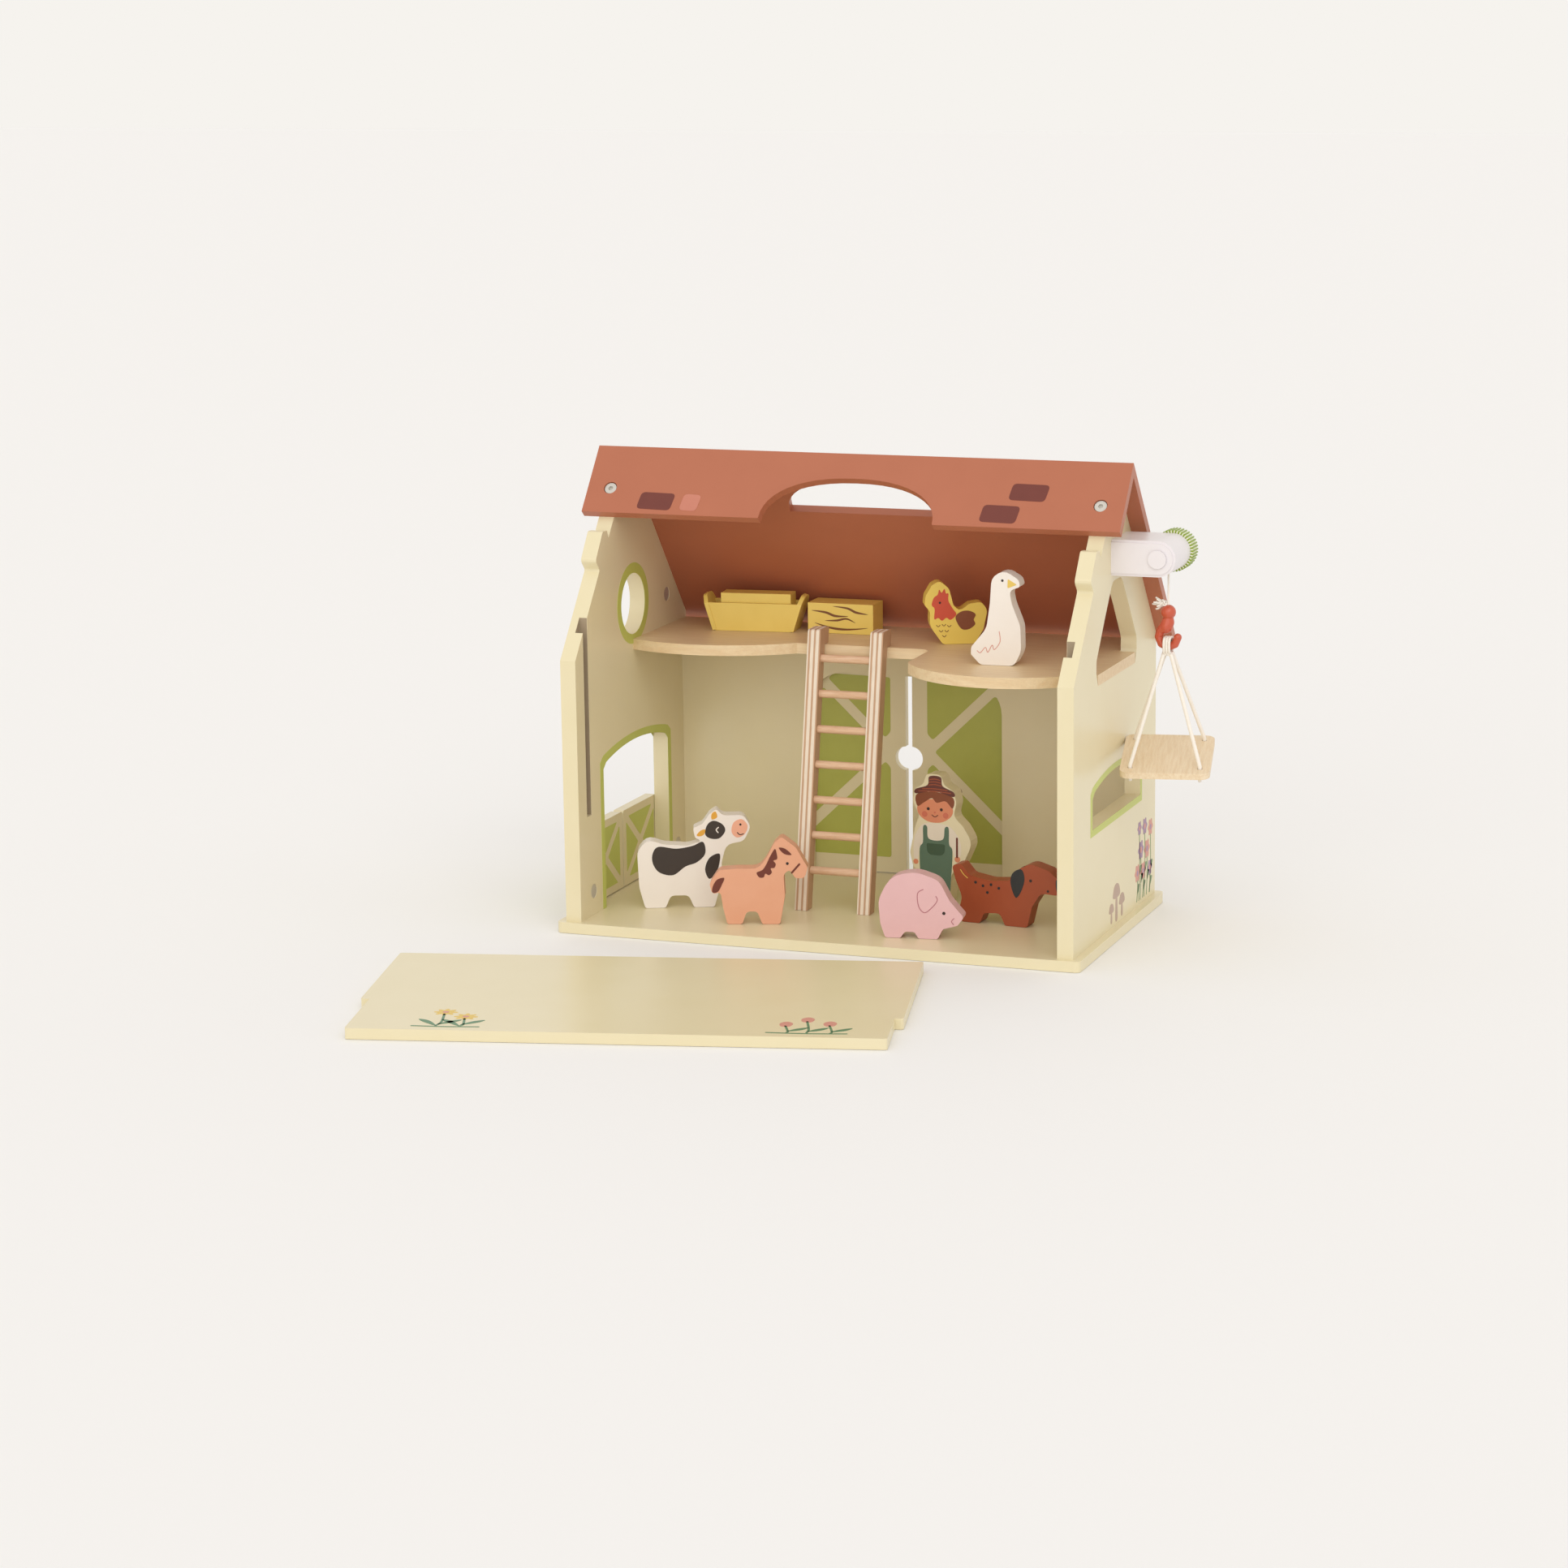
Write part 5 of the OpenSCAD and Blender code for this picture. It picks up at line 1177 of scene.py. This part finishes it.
@dataclass(frozen=True)
class Mark:
    """One printed mark on a play piece: a finish, an outline and how proud it lies."""

    finish: Finish
    outline: np.ndarray
    proud: float = Layer.PLAIN


def blot(finish: Finish, points: Points, per: int = 6, proud: float = Layer.PLAIN) -> Mark:
    """A mark with a smooth curved edge through the points."""
    return Mark(finish, closed_curve(points, per), proud)


def dot(finish: Finish, x: float, z: float, radius: float, proud: float = Layer.PLAIN) -> Mark:
    """A round mark."""
    return Mark(finish, disc(x, z, radius), proud)


def line(finish: Finish, points: Points, width: float, proud: float = Layer.PLAIN, per: int = 8) -> Mark:
    """A pen line through the points."""
    return Mark(finish, stroke(points, width, per), proud)


@dataclass
class Figure:
    """A flat play piece with the same marks printed on its front and its back."""

    node: str
    body: str
    slot: str
    base: Finish
    place: tuple[float, float, float, float, float]
    depth: float
    marks: list[Mark]
    size: float = 1.0

    def build(self) -> None:
        """Dresses the wood and prints the marks of each finish as one piece."""
        dress(self.base, self.node)
        for number, finish in enumerate(dict.fromkeys(m.finish for m in self.marks)):
            piece = Print(f"{self.node}_print_{number + 1}", self.body, finish, self.slot)
            for mark in self.marks:
                if mark.finish is finish:
                    outline = mark.outline * self.size
                    piece.patch(standing(*self.place), outline, mark.proud)
                    piece.patch(standing(*self.place, self.depth, True), outline, mark.proud)
            piece.make()


# Heights at which the play pieces stand on the base and on the loft
FLOOR, LOFT = 6.15, 151.95


def cow() -> Figure:
    """The cow: dark patches, a pink muzzle, amber ears and an eye."""
    marks = [
        blot(CHARCOAL, [[8.6, 31], [12, 35.2], [22, 34], [31, 35.4], [37, 37.6], [38.2, 31], [33.5, 26],
                        [27, 23.6], [20, 18.8], [12.4, 20.4], [8.8, 25.4]]),
        blot(CHARCOAL, [[38.4, 41.8], [39.4, 47], [43, 49.6], [48, 47.6], [49.6, 43.8], [46.4, 39.6],
                        [41.6, 39.4]]),
        blot(CHARCOAL, [[38, 22], [40.6, 28.4], [46.2, 30.6], [45.8, 24], [43.4, 18.6], [40, 16.4]]),
        blot(MUZZLE, [[53.2, 43], [54.4, 48.4], [59, 50.2], [62.2, 46.4], [60.4, 41.6], [56.2, 39.8]]),
        blot(AMBER, [[33.6, 41.6], [36, 44.2], [38.6, 44.6], [37.6, 41.8], [35.2, 40.8]]),
        blot(AMBER, [[42.2, 50.4], [42.2, 53.6], [44.4, 54.8], [45.2, 51.6]]),
        line(WHITE, [[45.8, 45.8], [44.6, 44.4], [45.6, 42.8]], 0.6, Layer.OVER),
        dot(INK, 58.2, 47.2, 0.65, Layer.OVER),
        line(INK, [[56.4, 42.6], [57.8, 41.4], [59.8, 41.8]], 0.55, Layer.OVER)]
    return Figure("cow", "cow_piece", "white_paint", WHITE, (-96.8, -33.8, FLOOR, 22, 24.4), 10, marks)


def horse() -> Figure:
    """The horse: a scalloped mane, tail tip, ear, eye and mouth."""
    marks = [
        blot(CHESTNUT, [[26.2, 29.2], [27.6, 26.6], [30, 26.6], [31, 28.6], [33, 27.8], [34.6, 29.4],
                        [34, 31.6], [36, 32], [36.8, 34.2], [35.6, 36], [37.6, 37], [37.4, 40],
                        [36.4, 42.6], [33.8, 38.6], [31.6, 34], [29.4, 30.8]]),
        blot(CHESTNUT, [[1.8, 21.4], [1.6, 18], [4.6, 18.4], [6.8, 22.2], [8.2, 26.2], [4.2, 25.2]]),
        blot(CHESTNUT, [[38.6, 43.2], [42, 42.8], [45.6, 39.4], [41.6, 39.8]]),
        dot(INK, 43.2, 34.4, 0.8),
        line(CHESTNUT, [[45.6, 29.2], [49.8, 34]], 1.1)]
    return Figure("horse", "horse_piece", "tan_paint", TAN, (-44, -58.4, FLOOR, 17, 24.2), 10, marks)


def pig() -> Figure:
    """The pig: a drawn ear, an eye and a mouth."""
    marks = [
        line(PIG_LINE, [[25.8, 29], [22.6, 26.4], [23.2, 19], [26.6, 15.4], [31.2, 18.8], [34, 22.8],
                        [33.2, 25.2]], 0.5),
        dot(INK, 37.8, 15.4, 0.95),
        line(PIG_LINE, [[43.6, 12.6], [42.2, 10.8], [43.4, 9]], 0.5)]
    return Figure("pig", "pig_piece", "pink_paint", PIG_PINK, (49.5, -63, FLOOR, 8, 18), 10, marks, 0.95)


def dog() -> Figure:
    """The dog: a dark ear and nose, freckles, and a light line on its tail."""
    marks = [
        blot(NIGHT, [[40.6, 32.6], [35.6, 30], [34.4, 24], [37.4, 16.4], [40.8, 20.6], [42.6, 27.6]]),
        dot(INK, 46.2, 26.6, 0.85),
        blot(NIGHT, [[61.2, 28.4], [64.6, 26.2], [63.8, 21.8], [61.4, 22.4]]),
        dot(INK, 56.4, 21.6, 0.7),
        *[dot(NIGHT, x, z, 0.8)
          for x, z in ((13.6, 23), (18, 21.4), (22.8, 22.4), (27.4, 20.8), (20.6, 17.8))],
        line(STRAW, [[4.6, 29.4], [6.4, 27], [8.8, 25]], 0.35)]
    return Figure("dog", "dog_piece", "brown_paint", RUSSET, (83.3, -19.9, FLOOR, -5, 24.9), 10, marks)


def hen() -> Figure:
    """The hen: a red head and wattle, a brown wing and small feather ticks."""
    marks = [
        blot(POPPY, [[5.2, 14.4], [5.4, 20.2], [3.8, 22.4], [5, 26.4], [7.2, 28.2], [8, 31], [9.4, 29.2],
                     [11, 31.4], [11.8, 28.8], [13.2, 28.6], [13.2, 24.6], [15.4, 20.4], [17.6, 16.8],
                     [14.4, 13.8], [12, 15], [9.6, 13.4], [7.4, 15]], 4),
        blot(UMBER, [[17.2, 15.6], [20.6, 18.4], [25, 18.6], [28.4, 16.6], [27.4, 13.6], [28.2, 11],
                     [25, 8.4], [21.2, 8.2], [18.6, 11]]),
        dot(INK, 8.4, 23.6, 0.65, Layer.OVER),
        *[line(STRAW_LINE, [[x - 1, z + 0.9], [x, z], [x + 1, z + 0.9]], 0.4, per=3)
          for x, z in ((7.4, 10), (10.6, 10.4), (13.6, 9.8), (9, 7), (12.2, 7), (10.8, 4.2))]]
    return Figure("hen", "hen_piece", "yellow_paint", STRAW, (45.9, 35.4, LOFT, 25, 19.5), 10, marks)


def goose() -> Figure:
    """The goose: a yellow beak, an eye and a wavy wing line."""
    marks = [
        Mark(LEMON, soft_corners([[20.6, 47.6], [25.8, 44.6], [20.4, 42.4]], 0.9)),
        dot(INK, 17.6, 46.6, 0.7),
        line(BLUSH, [[15.8, 18.6], [16.2, 13], [13, 8.6], [11.8, 11], [9.4, 7], [8, 9.6], [5.2, 6.6],
                     [3.4, 7.6]], 0.4)]
    return Figure("goose", "goose_piece", "white_paint", WHITE, (85.8, -23.5, LOFT, 2, 14.2), 10, marks)


def farmer() -> Figure:
    """The farmer: hat, fringe, face, shirt, bib overall, a stick and boots."""
    marks = [
        blot(HAT, [[9.4, 67.4], [10.6, 72.4], [17.4, 72.4], [18.6, 67.4], [25.2, 64.4], [24.8, 61.6],
                   [13.6, 64.2], [2.6, 62], [2.2, 64.6]]),
        *[line(RUSSET, [[x0, z], [13.8, z + 0.5], [x1, z]], 0.55, Layer.OVER)
          for x0, x1, z in ((10.9, 17, 70.6), (10.5, 17.4, 69), (10.2, 17.8, 67.4), (6.4, 21.4, 65),
                            (4, 23.6, 63.6))],
        dot(CHEEK, 7.6, 50.6, 1.7, Layer.SPOT),
        dot(CHEEK, 20.4, 50.6, 1.7, Layer.SPOT),
        dot(CHEEK, 13.8, 51.9, 0.6, Layer.OVER),
        line(CHESTNUT, [[27.2, 27.4], [27.2, 38]], 1.2, Layer.OVER),
        blot(HAIR, [[2.8, 61.6], [13.6, 63.8], [24.8, 61.2], [24.6, 55], [20.4, 58.8], [15, 57.6],
                    [12, 60], [7.4, 57.4], [3.2, 55]]),
        blot(SKIN, [[3.2, 55], [7.4, 58.4], [14, 59.6], [20.4, 58.8], [24.6, 55], [23.8, 50.4],
                    [18, 46.6], [10, 46.4], [4.2, 50]], proud=Layer.UNDER),
        dot(INK, 9.8, 53.8, 0.9, Layer.OVER),
        dot(INK, 17.8, 53.8, 0.9, Layer.OVER),
        line(HAT, [[12, 50.4], [13.8, 49.4], [15.6, 50.4]], 0.5, Layer.OVER),
        blot(SHIRT, [[5, 43.4], [9.6, 45.6], [17.8, 45.6], [24, 43.6], [29, 36.6], [29.4, 28.6],
                     [26, 27], [23.2, 34.6], [22.6, 30], [5.4, 30], [4.6, 34], [3.2, 24.4], [0.8, 25.6],
                     [1.2, 36.4]], proud=Layer.UNDER),
        blot(DENIM, [[6.6, 43.4], [9, 43.4], [10, 36.6], [18.4, 36.6], [19.8, 43.4], [22.2, 43.4],
                     [22.4, 34.4], [24.4, 30.4], [23.6, 16], [22, 4.6], [15, 4.6], [13.8, 15],
                     [12.4, 4.6], [5.2, 4.6], [4.6, 16], [4.4, 30.4], [6.4, 34.4]], 5),
        Mark(POCKET, soft_corners([[8.6, 34], [20, 34], [19.6, 29], [17.6, 27.4], [11, 27.4],
                                   [9, 29]], 1.2), Layer.OVER),
        dot(SKIN, 2, 22.8, 1.5),
        dot(SKIN, 27.4, 26, 1.7),
        Mark(CHESTNUT, soft_corners([[4.8, 0.8], [11.8, 0.8], [12, 4.4], [5.2, 4.4]], 1)),
        Mark(CHESTNUT, soft_corners([[14.8, 0.8], [21.8, 0.8], [21.8, 4.4], [15, 4.4]], 1))]
    return Figure("farmer", "farmer_piece", "green_paint", CREAM, (35, 20, FLOOR, -5, 13), 10, marks)


def hay_bale() -> Figure:
    """The hay bale: four drawn straws, thick in the middle."""
    marks = [blot(STRAW_LINE, points) for points in (
        [[-17.4, 12.8], [-9, 11.3], [-3, 9.4], [4.8, 10.2], [-2.8, 10.7], [-9, 12.6]],
        [[-4.6, 15.6], [4, 14.2], [9.4, 11.9], [16.6, 11.6], [9.6, 13.2], [4.2, 15.3]],
        [[-9.4, 7.2], [-2, 7], [3.6, 8.2], [9, 6.4], [3.8, 9.2], [-2.2, 8.1]],
        [[-15.6, 5.8], [-6, 2.6], [4, 2], [16.4, 3.8], [4, 3.1], [-6, 3.8]])]
    return Figure("hay_bale", "bale", "yellow_paint", HAY, (-29.7, 49, LOFT, 1, 0), 18, marks)


def main() -> None:
    """Builds the stage and the looks in order."""
    logging.basicConfig(level=logging.INFO, format="%(name)s: %(message)s")
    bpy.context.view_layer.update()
    Studio().build()
    Winch().build()
    Swing().build()
    House().build()
    Openings().build()
    Ladder().build()
    Panel().build()
    dress(HAY, "trough", "trough_hay")
    for play_piece in (cow, horse, pig, dog, hen, goose, farmer, hay_bale):
        play_piece().build()


if __name__ == "__main__":
    main()
